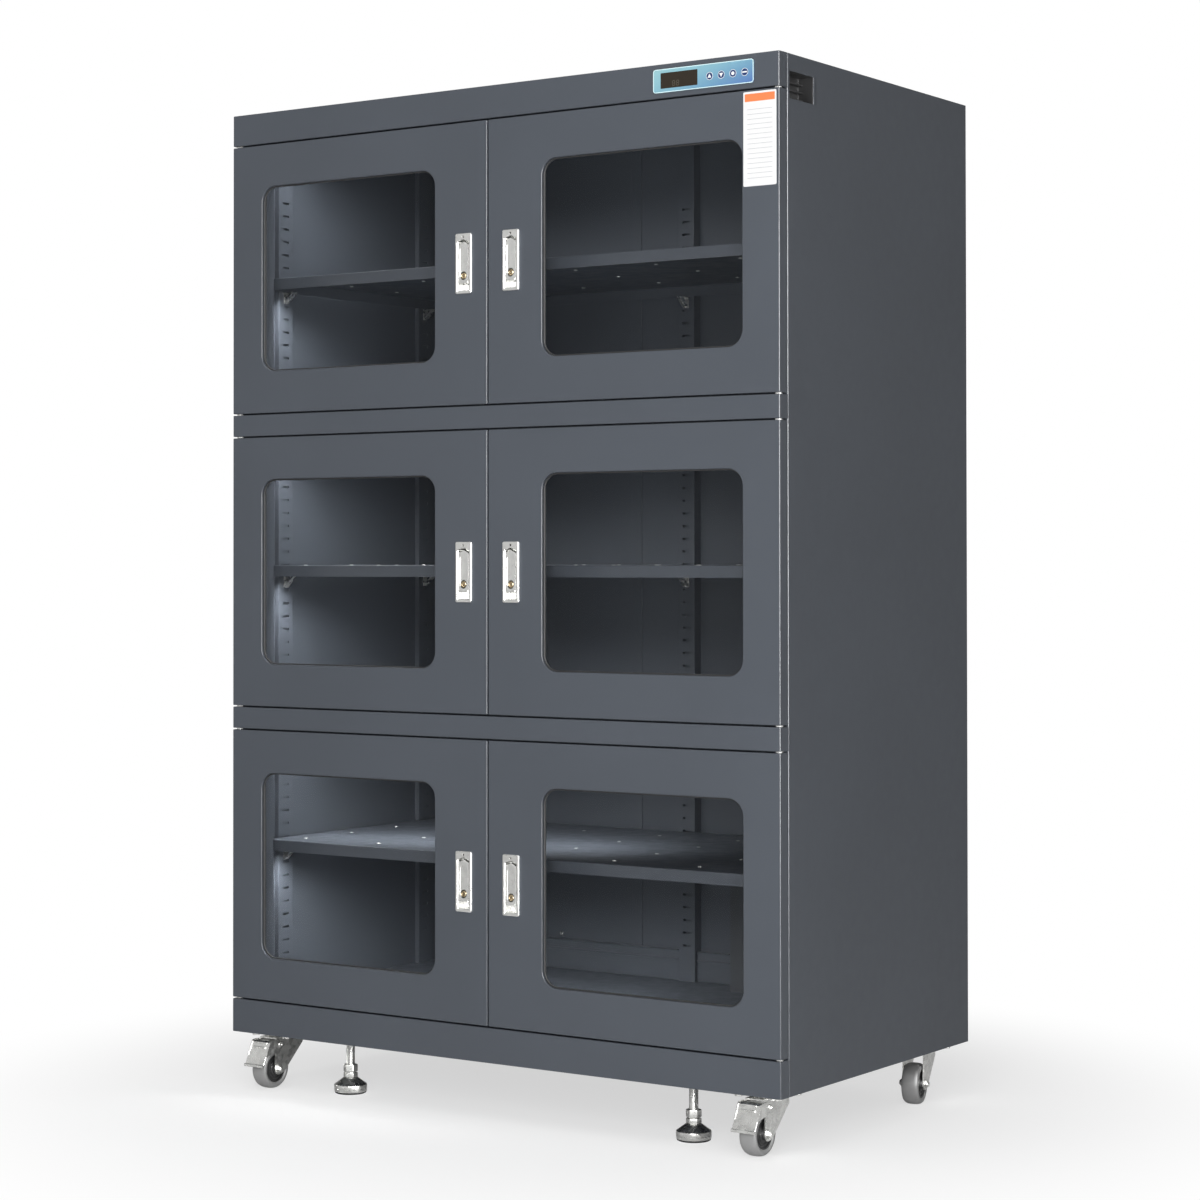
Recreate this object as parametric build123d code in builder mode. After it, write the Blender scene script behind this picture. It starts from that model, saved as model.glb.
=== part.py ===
from build123d import *
import os

# Six-door dry cabinet: a folded sheet-steel carcass with a door frame, six glazed doors on pivot
# pins, flush locks, slotted shelf uprights, a drying unit, four swivel casters and two levelling
# feet. Millimetres, +Z up, the doors face -Y. The origin is on the floor, midway across the width
# and midway between the tips of the brake pedals and the back panel.

# ---- Driving dimensions -------------------------------------------------------------------------
# Carcass
body_width = 1200.0
body_depth = 684.0
body_height = 1735.0
floor_clearance = 105.0  # floor to the underside of the body
sheet = 1.2  # thickness of the folded steel sheet
bend = 2.5  # outside radius of the visible bends
seat_gap = 0.3  # between pieces that sit against each other but don't share a face

# Door frame
plinth_height = 62.0
rail_height = 40.0
header_height = 58.0
frame_setback = 27.5  # door face to the face of the frame behind the doors
frame_lip = 28.0  # lip of the frame behind each door edge
post_width = 38.0
post_depth = 46.0
mullion_width = 60.0
mullion_tube = (28.0, 30.0)  # width, depth

# Doors
door_gap = 3.0
door_thickness = 23.5
window_width = 410.0
window_height = 348.0
window_corner = 30.0
window_edge = 116.5  # free edge of the door to the window
glass_thickness = 4.0
glass_setback = 8.0  # door face to the glass
glass_overlap = 10.0  # edge of the window to the edge of the glass
seal_width = 10.0
seal_offset = 4.0  # edge of the frame opening to the seal

# Door pivots
pin_radius = 4.0
pin_inset_x = 8.5  # side of the door to the pin's axis
pin_inset_y = 12.0  # face of the door to the pin's axis
pin_depth = 10.0  # length of pin inside a door
washer_radius = 6.0
running_clearance = 0.05

# Locks, one in each door beside the mullion
lock_inset = 50.5  # free edge of the door to the lock's axis
lock_width = 35.0
lock_height = 108.0
lock_corner = 5.0
lock_rim = 3.0  # how far the rim stands proud of the door
lock_wall = 3.0
case_margin = (2.5, 4.0)  # rim to the case behind it, at the sides and at the ends
pocket_foot = 2.0  # lower end of the case to its pocket
case_depth = 18.0
pocket_depth = 14.0
pocket_top = 10.0  # top of the lock to the top of its pocket
lever_clearance = 0.6
lever_face = 2.0  # how far the lever stands proud of the door
lever_back = 6.0
lever_foot = 18.0  # lower end of the lock to the lower end of the lever
lever_pivot_drop = 20.0  # top of the lock to the lever's pivot
lever_pivot_setback = 5.0
lever_pin_radius = 2.0
lever_pin_reach = 2.0  # how far the lever's pins enter the walls of the case
lever_window = (12.4, 15.4)  # hole in the lever round the key cylinder
key_rise = 32.0  # lower end of the lock to the key cylinder
key_radius = 5.5
key_boss_wall = 3.0
key_boss_length = 7.0
key_slot = (1.8, 7.0, 2.0)  # width, height, depth
cam_reach = 30.0  # key axis to the far end of the cam
cam_width = 12.0
cam_thickness = 3.0
cam_clearance = 1.3  # strike plate to the cam behind it

# Inside fittings
slot_pitch = 25.0
first_slot = 133.0  # underside of the body to the middle of the lowest shelf slot
slot_size = (17.0, 4.0)  # width, height of the slots that the hooks hang in
shelf_slots = (8, 19, 29, 40, 51)  # slots that carry the five shelves, counted from the lowest
shelf_height = 21.5
shelf_setback = 84.0
shelf_back_gap = 3.0
shelf_side_gap = 0.8
upright_width = 42.0
side_upright_depth = 10.0
side_upright_places = (141.0, 582.0)  # door face to the uprights' centre lines
rear_upright_width = 38.0
rear_upright_depth = 23.0
upright_sheet = 1.5
hook_reach = 24.0
hook_drop = 22.0
hook_width = 14.0

# Drying unit on the back panel, low on the right
dryer_x = (135.0, 495.0)
dryer_height = 230.0
dryer_depth = 80.0
dryer_wing = 48.0  # louvred wing beside the housing
louvre_size = (3.6, 46.0)
louvre_pitch = 7.2
louvre_count = 4
louvre_drop = 151.0  # top of the unit to the middle of the louvres
tray_clearance = 6.0
inlet_size = (27.0, 20.0)
inlet_flange = (50.0, 30.0)
inlet_depth = 22.0
inlet_wall = 2.0

# Control panel in the header
panel_x = (353.0, 552.0)
panel_height = 40.0
panel_corner = 5.0
panel_proud = 2.0
panel_box_depth = 20.0
panel_box_margin = 9.0
display_size = (74.0, 26.5)
display_inset = 15.0
display_depth = 0.6

# Pocket in the right side panel
port_setback = (34.0, 115.0)  # door face to the pocket's ends
port_drop = 29.0  # top of the body to the pocket
port_height = 46.0
port_depth = 30.0

# Casters
caster_x = 535.0
caster_setbacks = {"front": 69.0, "rear": 615.0}
caster_turns = {"front_left": 0.0, "front_right": 0.0, "rear_left": 0.0, "rear_right": 12.0}
plate_size = (100.0, 84.0)
plate_thickness = 3.0
race_radius = 30.0
race_height = 6.2
kingpin_radius = 6.0
kingpin_head = (11.0, 3.7)  # radius, height
fork_sheet = 2.5
fork_inside = 36.0
fork_front = 40.0
fork_back = 35.0
fork_shoulder = 16.0  # height of the cheeks' upper part
axle_trail = 35.0
axle_boss = 11.0
axle_radius = 4.0
axle_head = (6.5, 4.5)  # radius, height
wheel_radius = 37.5
wheel_width = 32.0
wheel_clearance = 3.5

# Brake pedals on the front casters
pedal_reach = 16.0  # how far the pedals stand out in front of the doors
pedal_sheet = 2.5
pedal_ear = 2.2
# y and z from the swivel axis at the underside of the body
pedal_pivot = (-33.0, -22.0)
pedal_pin_radius = 3.0
pedal_ear_radius = 7.0
pedal_top = (-50.0, -14.0)
pedal_shoulder = (-60.0, -15.0)
pedal_foot = (-75.0, -44.5)
pedal_lip_drop = 57.0
pedal_lip_radius = 3.0

# Levelling feet
foot_x = 379.0
foot_setback = 82.0
foot_radius = 30.5
foot_band = 17.0
foot_cone_top = (13.0, 29.0)  # radius, height above the floor
foot_travel = 18.0  # upward travel left for the stem inside its beam
stem_radius = 8.0
nut_radius = 13.8  # across the corners
lower_nut = (29.0, 38.0)  # from, to, above the floor
jam_nut = (39.5, 53.0)

# Base beams
beam_depth = 80.0
beam_sheet = 3.0
beam_end_gap = 2.0

# ---- Places worked out from them ----------------------------------------------------------------
front = (pedal_reach - body_depth) / 2  # the plane of the door faces
back = front + body_depth
half_width = body_width / 2
inner_half = half_width - sheet
base = floor_clearance
top = base + body_height
frame_face = front + frame_setback
frame_back = frame_face + sheet
floor_top = base + plinth_height
post_inner = inner_half - post_width + sheet
strike_edge = mullion_width / 2

rows = ("lower", "middle", "upper")
sides = {"left": -1, "right": 1}
spare_height = body_height - plinth_height - header_height - 2 * rail_height
door_height = spare_height / len(rows) - 2 * door_gap
row_pitch = door_height + 2 * door_gap + rail_height
door_bottoms = {row: floor_top + door_gap + i * row_pitch for i, row in enumerate(rows)}
door_width = half_width - door_gap / 2

shelf_half = inner_half - side_upright_depth - shelf_side_gap
shelf_levels = [base + first_slot + slot * slot_pitch + slot_size[1] / 2 for slot in shelf_slots]
shelf_front = front + shelf_setback
shelf_back = back - sheet - rear_upright_depth - shelf_back_gap
slot_levels = [level - slot_size[1] / 2 for level in shelf_levels]
pin_x = half_width - pin_inset_x
pin_y = front + pin_inset_y

os.makedirs("parts", exist_ok=True)


def save(part, label):
    """Label a finished piece and write it to its own STEP file."""
    part.label = label
    export_step(part, f"parts/{label}.step")


def facing(y):
    """Plane parallel to the doors at the given Y, drawn in X and Z; it extrudes towards the front."""
    return Plane.XZ.offset(-y)


def block(x, y, z, mode=Mode.ADD):
    """Add a plate or block between two X, two Y and two Z values to the part being built."""
    with BuildSketch(Plane.XY.offset(z[0])) as footprint:
        with Locations(((x[0] + x[1]) / 2, (y[0] + y[1]) / 2)):
            Rectangle(x[1] - x[0], y[1] - y[0])
    extrude(footprint.sketch, amount=z[1] - z[0], mode=mode)


def rod(centre, radius, start, end, mode=Mode.ADD):
    """Add a round bar along X, through a (y, z) centre, to the part being built."""
    with BuildSketch(Plane.YZ.offset(start)) as section:
        with Locations(centre):
            Circle(radius)
    extrude(section.sketch, amount=end - start, mode=mode)


def post(centre, radius, bottom, height, mode=Mode.ADD):
    """Add an upright round bar at an (x, y) centre to the part being built."""
    with BuildSketch(Plane.XY.offset(bottom)) as section:
        with Locations(centre):
            Circle(radius)
    extrude(section.sketch, amount=height, mode=mode)


# ---- Carcass panels -----------------------------------------------------------------------------
port_y = (front + port_setback[0], front + port_setback[1])
port_z = (top - port_drop - port_height, top - port_drop)
with BuildPart() as side_panels:
    block((-half_width, -inner_half), (frame_face, back), (base, top))
    block((inner_half, half_width), (frame_face, back), (base, top))
    block((inner_half, half_width), port_y, port_z, Mode.SUBTRACT)
    # the pocket behind the opening is a shallow pan seated on the inside of the panel
    pan_y = (port_y[0] - sheet, port_y[1] + sheet)
    pan_z = (port_z[0] - sheet, port_z[1] + sheet)
    pan_mouth = inner_half - seat_gap
    block((inner_half - port_depth, pan_mouth), pan_y, pan_z)
    block((inner_half - port_depth + sheet, pan_mouth), port_y, port_z, Mode.SUBTRACT)
save(side_panels.part, "side_panels")

with BuildPart() as back_panel:
    block((-inner_half, inner_half), (back - sheet, back), (base, top - sheet))
    inlet_x = (dryer_x[0] + dryer_x[1]) / 2
    inlet_z = floor_top + dryer_height / 2
    with BuildSketch(facing(back)):
        with Locations((inlet_x, inlet_z)):
            Rectangle(inlet_size[0] + 2 * seat_gap, inlet_size[1] + 2 * seat_gap)
    extrude(amount=sheet, mode=Mode.SUBTRACT)
save(back_panel.part, "back_panel")

with BuildPart() as top_panel:
    block((-inner_half, inner_half), (frame_back, back), (top - sheet, top))
save(top_panel.part, "top_panel")

with BuildPart() as floor_panel:
    block((-inner_half, inner_half), (frame_back, back - sheet), (floor_top - sheet, floor_top))
save(floor_panel.part, "floor_panel")


# ---- Header, rails and plinth: folded channels across the front ---------------------------------
def front_channel(z, lips):
    """Add a folded channel between two heights, with a lip up, down or both behind the doors."""
    block((-half_width, half_width), (front, frame_face), z)
    with BuildSketch(Plane.YZ.offset(-inner_half)) as hollow:
        with Locations(((front + sheet + frame_face) / 2, (z[0] + z[1]) / 2)):
            Rectangle(frame_setback - sheet, z[1] - z[0] - 2 * sheet)
    extrude(hollow.sketch, amount=2 * inner_half, mode=Mode.SUBTRACT)
    for lip in lips:
        root = z[1] if lip > 0 else z[0]
        span = sorted((root - lip * sheet, root + lip * frame_lip))
        block((-post_inner, post_inner), (frame_face, frame_back), span)


pin_hole = 2 * (pin_radius + running_clearance)  # side of the square holes that hold the pins
with BuildPart() as front_rails:
    front_channel((base, floor_top), (1,))
    for row in rows[:-1]:
        rail_bottom = door_bottoms[row] + door_height + door_gap
        front_channel((rail_bottom, rail_bottom + rail_height), (1, -1))
    fillet(front_rails.edges().filter_by(Axis.Z).group_by(Axis.Y)[0], bend)
    with Locations(*[(side * pin_x, pin_y, base + sheet) for side in sides.values()]):
        Box(pin_hole, pin_hole, body_height, align=(Align.CENTER, Align.CENTER, Align.MIN),
            mode=Mode.SUBTRACT)
save(front_rails.part, "front_rails")

header_bottom = top - header_height
panel_z = header_bottom + header_height / 2
panel_middle = (panel_x[0] + panel_x[1]) / 2
panel_width = panel_x[1] - panel_x[0]
panel_box = (panel_width - 2 * panel_box_margin, panel_height - 2 * panel_box_margin)
with BuildPart() as header:
    front_channel((header_bottom, top), (-1,))
    fillet(header.edges().filter_by(Axis.Z).group_by(Axis.Y)[0], bend)
    with Locations(*[(side * pin_x, pin_y, header_bottom) for side in sides.values()]):
        Box(pin_hole, pin_hole, 2 * sheet, mode=Mode.SUBTRACT)
    with BuildSketch(facing(front + sheet)):
        with Locations((panel_middle, panel_z)):
            Rectangle(panel_box[0] + 2 * seat_gap, panel_box[1] + 2 * seat_gap)
    extrude(amount=sheet, mode=Mode.SUBTRACT)
save(header.part, "header")

# ---- Posts behind the outer door edges and the centre mullion -----------------------------------
with BuildPart() as frame_posts:
    for side in sides.values():
        outer, inner = side * inner_half, side * post_inner
        block(sorted((outer, inner)), (frame_face, frame_back), (floor_top, top - sheet))
        block(sorted((inner, inner + side * sheet)), (frame_back, frame_back + post_depth),
              (floor_top, top - sheet))
    with BuildSketch(Plane.XY.offset(floor_top)):
        with Locations((0, frame_back + seat_gap + mullion_tube[1] / 2)):
            Rectangle(*mullion_tube)
            Rectangle(mullion_tube[0] - 2 * upright_sheet, mullion_tube[1] - 2 * upright_sheet,
                      mode=Mode.SUBTRACT)
    extrude(amount=top - sheet - floor_top)
    # strike plates for the lock cams, one across each pair of doors, between the rails' lips
    for row in rows:
        bay = (door_bottoms[row] - door_gap + frame_lip,
               door_bottoms[row] + door_height + door_gap - frame_lip)
        block((-strike_edge, strike_edge), (frame_face, frame_back), bay)
save(frame_posts.part, "frame_posts")

# ---- Base beams that carry the casters and the feet ---------------------------------------------
beam_half = inner_half - beam_end_gap
foot_y = front + foot_setback
caster_y = {end: front + setback for end, setback in caster_setbacks.items()}
beam_starts = (frame_back + beam_end_gap, caster_y["rear"] - beam_depth / 2)
with BuildPart() as base_frame:
    for start in beam_starts:
        y = (start, start + beam_depth)
        block((-beam_half, beam_half), y, (base, floor_top - sheet))
        block((-beam_half, beam_half), (y[0] + beam_sheet, y[1] - beam_sheet),
              (base + beam_sheet, floor_top - sheet), Mode.SUBTRACT)
    for side in sides.values():
        post((side * foot_x, foot_y), stem_radius + running_clearance, base, beam_sheet,
             Mode.SUBTRACT)
save(base_frame.part, "base_frame")

# ---- Hinge pins, one for each door corner or pair of corners ------------------------------------
pin_spans = [(floor_top - sheet - pin_depth, floor_top + door_gap + pin_depth)]
for row in rows[:-1]:
    door_top = door_bottoms[row] + door_height
    pin_spans.append((door_top - pin_depth, door_top + 2 * door_gap + rail_height + pin_depth))
pin_spans.append((header_bottom - door_gap - pin_depth, header_bottom + sheet + pin_depth))
with BuildPart() as hinge_pins:
    for side in sides.values():
        for low, high in pin_spans:
            post((side * pin_x, pin_y), pin_radius, low, high - low)
        # the shoulder that each door stands on
        for bottom in door_bottoms.values():
            with BuildSketch(Plane.XY.offset(bottom - door_gap + seat_gap)):
                with Locations((side * pin_x, pin_y)):
                    RegularPolygon(washer_radius, 6)
            extrude(amount=door_gap - 2 * seat_gap)
save(hinge_pins.part, "hinge_pins")

# ---- Seals on the frame face round each door opening --------------------------------------------
opening_width = post_inner - strike_edge
opening_height = door_height + 2 * door_gap - 2 * frame_lip
with BuildPart() as door_seals:
    with BuildSketch(facing(frame_face)):
        for row in rows:
            for side in sides.values():
                with Locations((side * (strike_edge + post_inner) / 2,
                                door_bottoms[row] + door_height / 2)):
                    for grow, mode in ((seal_offset + seal_width, Mode.ADD),
                                       (seal_offset, Mode.SUBTRACT)):
                        Rectangle(opening_width + 2 * grow, opening_height + 2 * grow, mode=mode)
    extrude(amount=frame_setback - door_thickness - seat_gap)
save(door_seals.part, "door_seals")

# ---- Slotted shelf uprights ---------------------------------------------------------------------
upright_top = top - sheet
with BuildPart() as shelf_uprights:
    for side in sides.values():
        face = side * (inner_half - side_upright_depth)
        for place in side_upright_places:
            y = (front + place - upright_width / 2, front + place + upright_width / 2)
            block(sorted((face, side * inner_half)), y, (floor_top, upright_top))
            block(sorted((face + side * upright_sheet, side * inner_half)),
                  (y[0] + upright_sheet, y[1] - upright_sheet), (floor_top, upright_top),
                  Mode.SUBTRACT)
            with BuildSketch(Plane.YZ.offset(face)):
                with Locations(*[(front + place, level) for level in slot_levels]):
                    Rectangle(*slot_size)
            extrude(amount=side * upright_sheet, mode=Mode.SUBTRACT)
    half = rear_upright_width / 2
    face_y = back - sheet - rear_upright_depth
    block((-half, half), (face_y, back - sheet), (floor_top, upright_top))
    block((-half + upright_sheet, half - upright_sheet), (face_y + upright_sheet, back - sheet),
          (floor_top, upright_top), Mode.SUBTRACT)
    with BuildSketch(facing(face_y)):
        with Locations(*[(0, level) for level in slot_levels]):
            Rectangle(*slot_size)
    extrude(amount=-upright_sheet, mode=Mode.SUBTRACT)
save(shelf_uprights.part, "shelf_uprights")

# ---- Shelves: folded trays with the lips turned down --------------------------------------------
with BuildPart() as shelves:
    for level in shelf_levels:
        block((-shelf_half, shelf_half), (shelf_front, shelf_back), (level, level + shelf_height))
        block((-shelf_half + sheet, shelf_half - sheet), (shelf_front + sheet, shelf_back - sheet),
              (level, level + shelf_height - sheet), Mode.SUBTRACT)
save(shelves.part, "shelves")


# ---- Shelf hooks: a gusset under the shelf with a tongue in the upright's slot ------------------
def hook(plane, out):
    """Add a hook drawn on a plane whose origin is the slot's middle on the upright's face."""
    tongue = -out * (upright_sheet + 2 * sheet)
    tongue_half = slot_size[1] / 2 - seat_gap
    seat = slot_size[1] / 2
    with BuildSketch(plane) as outline:
        with BuildLine():
            Polyline((0, seat), (0, tongue_half), (tongue, tongue_half), (tongue, -tongue_half),
                     (0, -tongue_half), (0, -hook_drop), (out * 2 * sheet, -hook_drop),
                     (out * hook_reach, seat - 2 * sheet), (out * hook_reach, seat), close=True)
        make_face()
    extrude(outline.sketch, amount=hook_width / 2, both=True)


with BuildPart() as shelf_hooks:
    for slot_z in slot_levels:
        for side in sides.values():
            face = side * (inner_half - side_upright_depth)
            for place in side_upright_places:
                hook(Plane((face, front + place, slot_z), x_dir=(1, 0, 0), z_dir=(0, -1, 0)), -side)
        hook(Plane((0, face_y, slot_z), x_dir=(0, 1, 0), z_dir=(1, 0, 0)), -1)
save(shelf_hooks.part, "shelf_hooks")

# ---- Drying unit: a louvred housing on the back panel, its desiccant tray and the mains inlet ---
dryer_front = back - sheet - dryer_depth
dryer_z = (floor_top, floor_top + dryer_height)
louvre_z = dryer_z[1] - louvre_drop
with BuildPart() as drying_unit:
    block((dryer_x[0] - dryer_wing, dryer_x[1] + dryer_wing / 4), (back - 2 * sheet, back - sheet),
          dryer_z)
    block(dryer_x, (dryer_front, back - sheet), dryer_z)
    block((dryer_x[0] + sheet, dryer_x[1] - sheet), (dryer_front + sheet, back - sheet),
          (dryer_z[0] + sheet, dryer_z[1] - sheet), Mode.SUBTRACT)
    with BuildSketch(facing(back - 2 * sheet)):
        with Locations((dryer_x[0] - dryer_wing / 2, louvre_z)):
            with GridLocations(louvre_pitch, louvre_size[1], louvre_count, 1):
                Rectangle(*louvre_size)
    extrude(amount=-sheet, mode=Mode.SUBTRACT)
    with BuildSketch(facing(dryer_front)):
        with Locations(((dryer_x[0] + dryer_x[1]) / 2, dryer_z[1] - louvre_size[1])):
            with GridLocations(2 * louvre_pitch, louvre_size[1], 2 * louvre_count, 1):
                Rectangle(*louvre_size)
    extrude(amount=-sheet, mode=Mode.SUBTRACT)
save(drying_unit.part, "drying_unit")

tray_x = (dryer_x[0] + 5 * tray_clearance, dryer_x[1] - 5 * tray_clearance)
tray_y = (dryer_front + sheet + tray_clearance, back - inlet_depth - tray_clearance)
tray_z = (floor_top + sheet, floor_top + dryer_height / 2)
with BuildPart() as desiccant_tray:
    block(tray_x, tray_y, tray_z)
    block((tray_x[0] + sheet, tray_x[1] - sheet), (tray_y[0] + sheet, tray_y[1] - sheet),
          (tray_z[0] + sheet, tray_z[1]), Mode.SUBTRACT)
save(desiccant_tray.part, "desiccant_tray")

with BuildPart() as power_inlet:
    for size, start, depth in ((inlet_flange, back - sheet, 2 * sheet),
                               (inlet_size, back, inlet_depth)):
        with BuildSketch(facing(start)):
            with Locations((inlet_x, inlet_z)):
                Rectangle(*size)
        extrude(amount=depth)
    with BuildSketch(facing(back)):
        with Locations((inlet_x, inlet_z)):
            Rectangle(inlet_size[0] - 2 * inlet_wall, inlet_size[1] - 2 * inlet_wall)
    extrude(amount=inlet_depth - 2 * sheet, mode=Mode.SUBTRACT)
save(power_inlet.part, "power_inlet")

# ---- Control panel: a bezel on the header with its electronics box behind ------------------------
display_x = panel_x[0] + display_inset + display_size[0] / 2
with BuildPart() as control_panel:
    with BuildSketch(facing(front)):
        with Locations((panel_middle, panel_z)):
            RectangleRounded(panel_width, panel_height, panel_corner)
    extrude(amount=panel_proud)
    with BuildSketch(facing(front)):
        with Locations((panel_middle, panel_z)):
            Rectangle(*panel_box)
    extrude(amount=-panel_box_depth)
    with BuildSketch(facing(front - panel_proud)):
        with Locations((display_x, panel_z)):
            Rectangle(*display_size)
    extrude(amount=-display_depth, mode=Mode.SUBTRACT)
save(control_panel.part, "control_panel")

# ---- Doors and their locks, drawn with the door's lower edge at Z = 0 ----------------------------
free_edge = door_gap / 2
back_skin = front + door_thickness - sheet
window_x = free_edge + window_edge + window_width / 2
pane_reach = (window_width / 2 + glass_overlap, window_height / 2 + glass_overlap)
lock_x = free_edge + lock_inset
lock_top = (door_height + lock_height) / 2
key_z = lock_top - lock_height + key_rise
pivot = (front + lever_pivot_setback, lock_top - lever_pivot_drop)
case_width = lock_width - 2 * case_margin[0]
case_height = lock_height - 2 * case_margin[1]
pocket_width = case_width - 2 * lock_wall
key_boss_radius = key_radius + key_boss_wall
boss_end = front + case_depth + key_boss_length
cam_front = frame_back + cam_clearance
slack = running_clearance


def disc(side, y, radius, length, mode=Mode.ADD):
    """Add a round bar on the key's axis, from the given Y towards the back of the cabinet."""
    with BuildSketch(facing(y)) as section:
        with Locations((side * lock_x, key_z)):
            Circle(radius)
    extrude(section.sketch, amount=-length, mode=mode)


def boss_block(side, grow, y, mode=Mode.ADD):
    """Add a square block round the key's axis, grown all round, between two Y values."""
    reach = key_boss_radius + grow
    block((side * lock_x - reach, side * lock_x + reach), y, (key_z - reach, key_z + reach), mode)


def pane_block(side, grow, y, mode=Mode.ADD):
    """Add a block the size of the window pane, grown all round, between two Y values."""
    reach_x, reach_z = (reach + grow for reach in pane_reach)
    block((side * window_x - reach_x, side * window_x + reach_x), y,
          (door_height / 2 - reach_z, door_height / 2 + reach_z), mode)


def make_door(side):
    """Folded double-skin door with a glazing frame, a lock cut-out and blocks for its pins."""
    x = sorted((side * free_edge, side * half_width))
    with BuildPart() as door:
        block(x, (front, front + door_thickness), (0, door_height))
        fillet(door.edges().filter_by(Axis.Z).group_by(Axis.Y)[0], bend)
        block((x[0] + sheet, x[1] - sheet), (front + sheet, back_skin),
              (sheet, door_height - sheet), Mode.SUBTRACT)
        # the glazing frame closes the door round the pane and gives it a land to seat on
        pane_block(side, sheet + seat_gap, (front + sheet, back_skin))
        pane_block(side, seat_gap, (front + glass_setback, front + door_thickness), Mode.SUBTRACT)
        with BuildSketch(facing(front)):
            with Locations((side * window_x, door_height / 2)):
                RectangleRounded(window_width, window_height, window_corner)
        extrude(amount=-glass_setback, mode=Mode.SUBTRACT)
        with BuildSketch(facing(front)):
            with Locations((side * lock_x, door_height / 2)):
                Rectangle(case_width + 2 * seat_gap, case_height + 2 * seat_gap)
        extrude(amount=-sheet, mode=Mode.SUBTRACT)
        boss_block(side, seat_gap, (back_skin, front + door_thickness), Mode.SUBTRACT)
        block_x = sorted((side * (pin_x - 2 * pin_radius), side * (half_width - sheet)))
        hole_depth = pin_depth + seat_gap
        for low in (sheet, door_height - 2 * sheet - hole_depth):
            block(block_x, (front + sheet, back_skin), (low, low + hole_depth + sheet))
        for low in (0, door_height - hole_depth):
            post((side * pin_x, pin_y), pin_radius + slack, low, hole_depth, Mode.SUBTRACT)
    return door.part


def make_window(side):
    """Pane seated on the land behind the door's window."""
    with BuildPart() as window:
        pane_block(side, 0, (front + glass_setback, front + glass_setback + glass_thickness))
    return window.part


def make_lock_case(side):
    """Lock case: a rounded rim on the door, a pocket for the lever and a boss for the key."""
    middle = side * lock_x
    with BuildPart() as case:
        with BuildSketch(facing(front)):
            with Locations((middle, door_height / 2)):
                RectangleRounded(lock_width, lock_height, lock_corner)
        extrude(amount=lock_rim)
        with BuildSketch(facing(front)):
            with Locations((middle, door_height / 2)):
                Rectangle(case_width, case_height)
        extrude(amount=-case_depth)
        boss_block(side, 0, (front + case_depth, boss_end))
        pocket_z = ((door_height - case_height) / 2 + pocket_foot, lock_top - pocket_top)
        block((middle - pocket_width / 2, middle + pocket_width / 2),
              (front - lock_rim, front + pocket_depth), pocket_z, Mode.SUBTRACT)
        disc(side, front + pocket_depth, key_radius + slack, boss_end - front - pocket_depth,
             Mode.SUBTRACT)
        # square holes in the side walls for the lever's pins
        reach = pocket_width / 2 + lever_pin_reach + seat_gap
        grip = lever_pin_radius + slack
        block((middle - reach, middle + reach), (pivot[0] - grip, pivot[0] + grip),
              (pivot[1] - grip, pivot[1] + grip), Mode.SUBTRACT)
    return case.part


def make_lock_lever(side):
    """Pull lever with a gabled top, a window for the key cylinder and two side pins."""
    middle = side * lock_x
    half = pocket_width / 2 - lever_clearance
    end_z = lock_top - lock_height + lever_foot
    shoulder_z = pivot[1]
    with BuildPart() as lever:
        with BuildSketch(facing(front - lever_face)):
            with BuildLine():
                Polyline((middle - half, end_z), (middle + half, end_z),
                         (middle + half, shoulder_z), (middle, shoulder_z + half / 2),
                         (middle - half, shoulder_z), close=True)
            make_face()
        extrude(amount=-(lever_face + lever_back))
        chamfer(lever.faces().sort_by(Axis.Y)[0].edges(), lever_face)
        with BuildSketch(facing(front - lever_face)):
            with Locations((middle, key_z)):
                Rectangle(*lever_window)
        extrude(amount=-(lever_face + lever_back), mode=Mode.SUBTRACT)
        reach = pocket_width / 2 + lever_pin_reach
        with BuildSketch(Plane.YZ.offset(middle)):
            with Locations(pivot):
                Circle(lever_pin_radius)
        extrude(amount=reach, both=True)
    return lever.part


def make_lock_cylinder(side):
    """Key cylinder and, behind the strike plate, its cam, hanging down where it is released."""
    with BuildPart() as cylinder:
        disc(side, front - lever_face, key_radius, cam_front - front + lever_face)
        block((side * lock_x - cam_width / 2, side * lock_x + cam_width / 2),
              (cam_front, cam_front + cam_thickness), (key_z - cam_reach, key_z + cam_width / 2))
        with BuildSketch(facing(cam_front + cam_thickness)):
            with Locations((side * lock_x, key_z)):
                RegularPolygon(key_radius, 6)
        extrude(amount=-cam_thickness)
        slot_width, slot_height, slot_depth = key_slot
        with BuildSketch(facing(front - lever_face)):
            with Locations((side * lock_x, key_z)):
                Rectangle(slot_width, slot_height)
        extrude(amount=-slot_depth, mode=Mode.SUBTRACT)
    return cylinder.part


door_pieces = {"door": make_door, "window": make_window, "lock_case": make_lock_case,
               "lock_lever": make_lock_lever, "lock_cylinder": make_lock_cylinder}
for side_name, side in sides.items():
    for piece_name, make_piece in door_pieces.items():
        piece = make_piece(side)
        for row in rows:
            save(Pos(0, 0, door_bottoms[row]) * piece, f"{row}_{side_name}_{piece_name}")

# ---- Casters, drawn round the swivel axis with the body's underside at Z = 0 ---------------------
fork_top = -plate_thickness - race_height - seat_gap
head_top = fork_top - fork_sheet - seat_gap
axle = (-axle_trail, wheel_radius - base)
cheek_outer = fork_inside / 2 + fork_sheet
pedal_half = cheek_outer + seat_gap + pedal_ear

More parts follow.
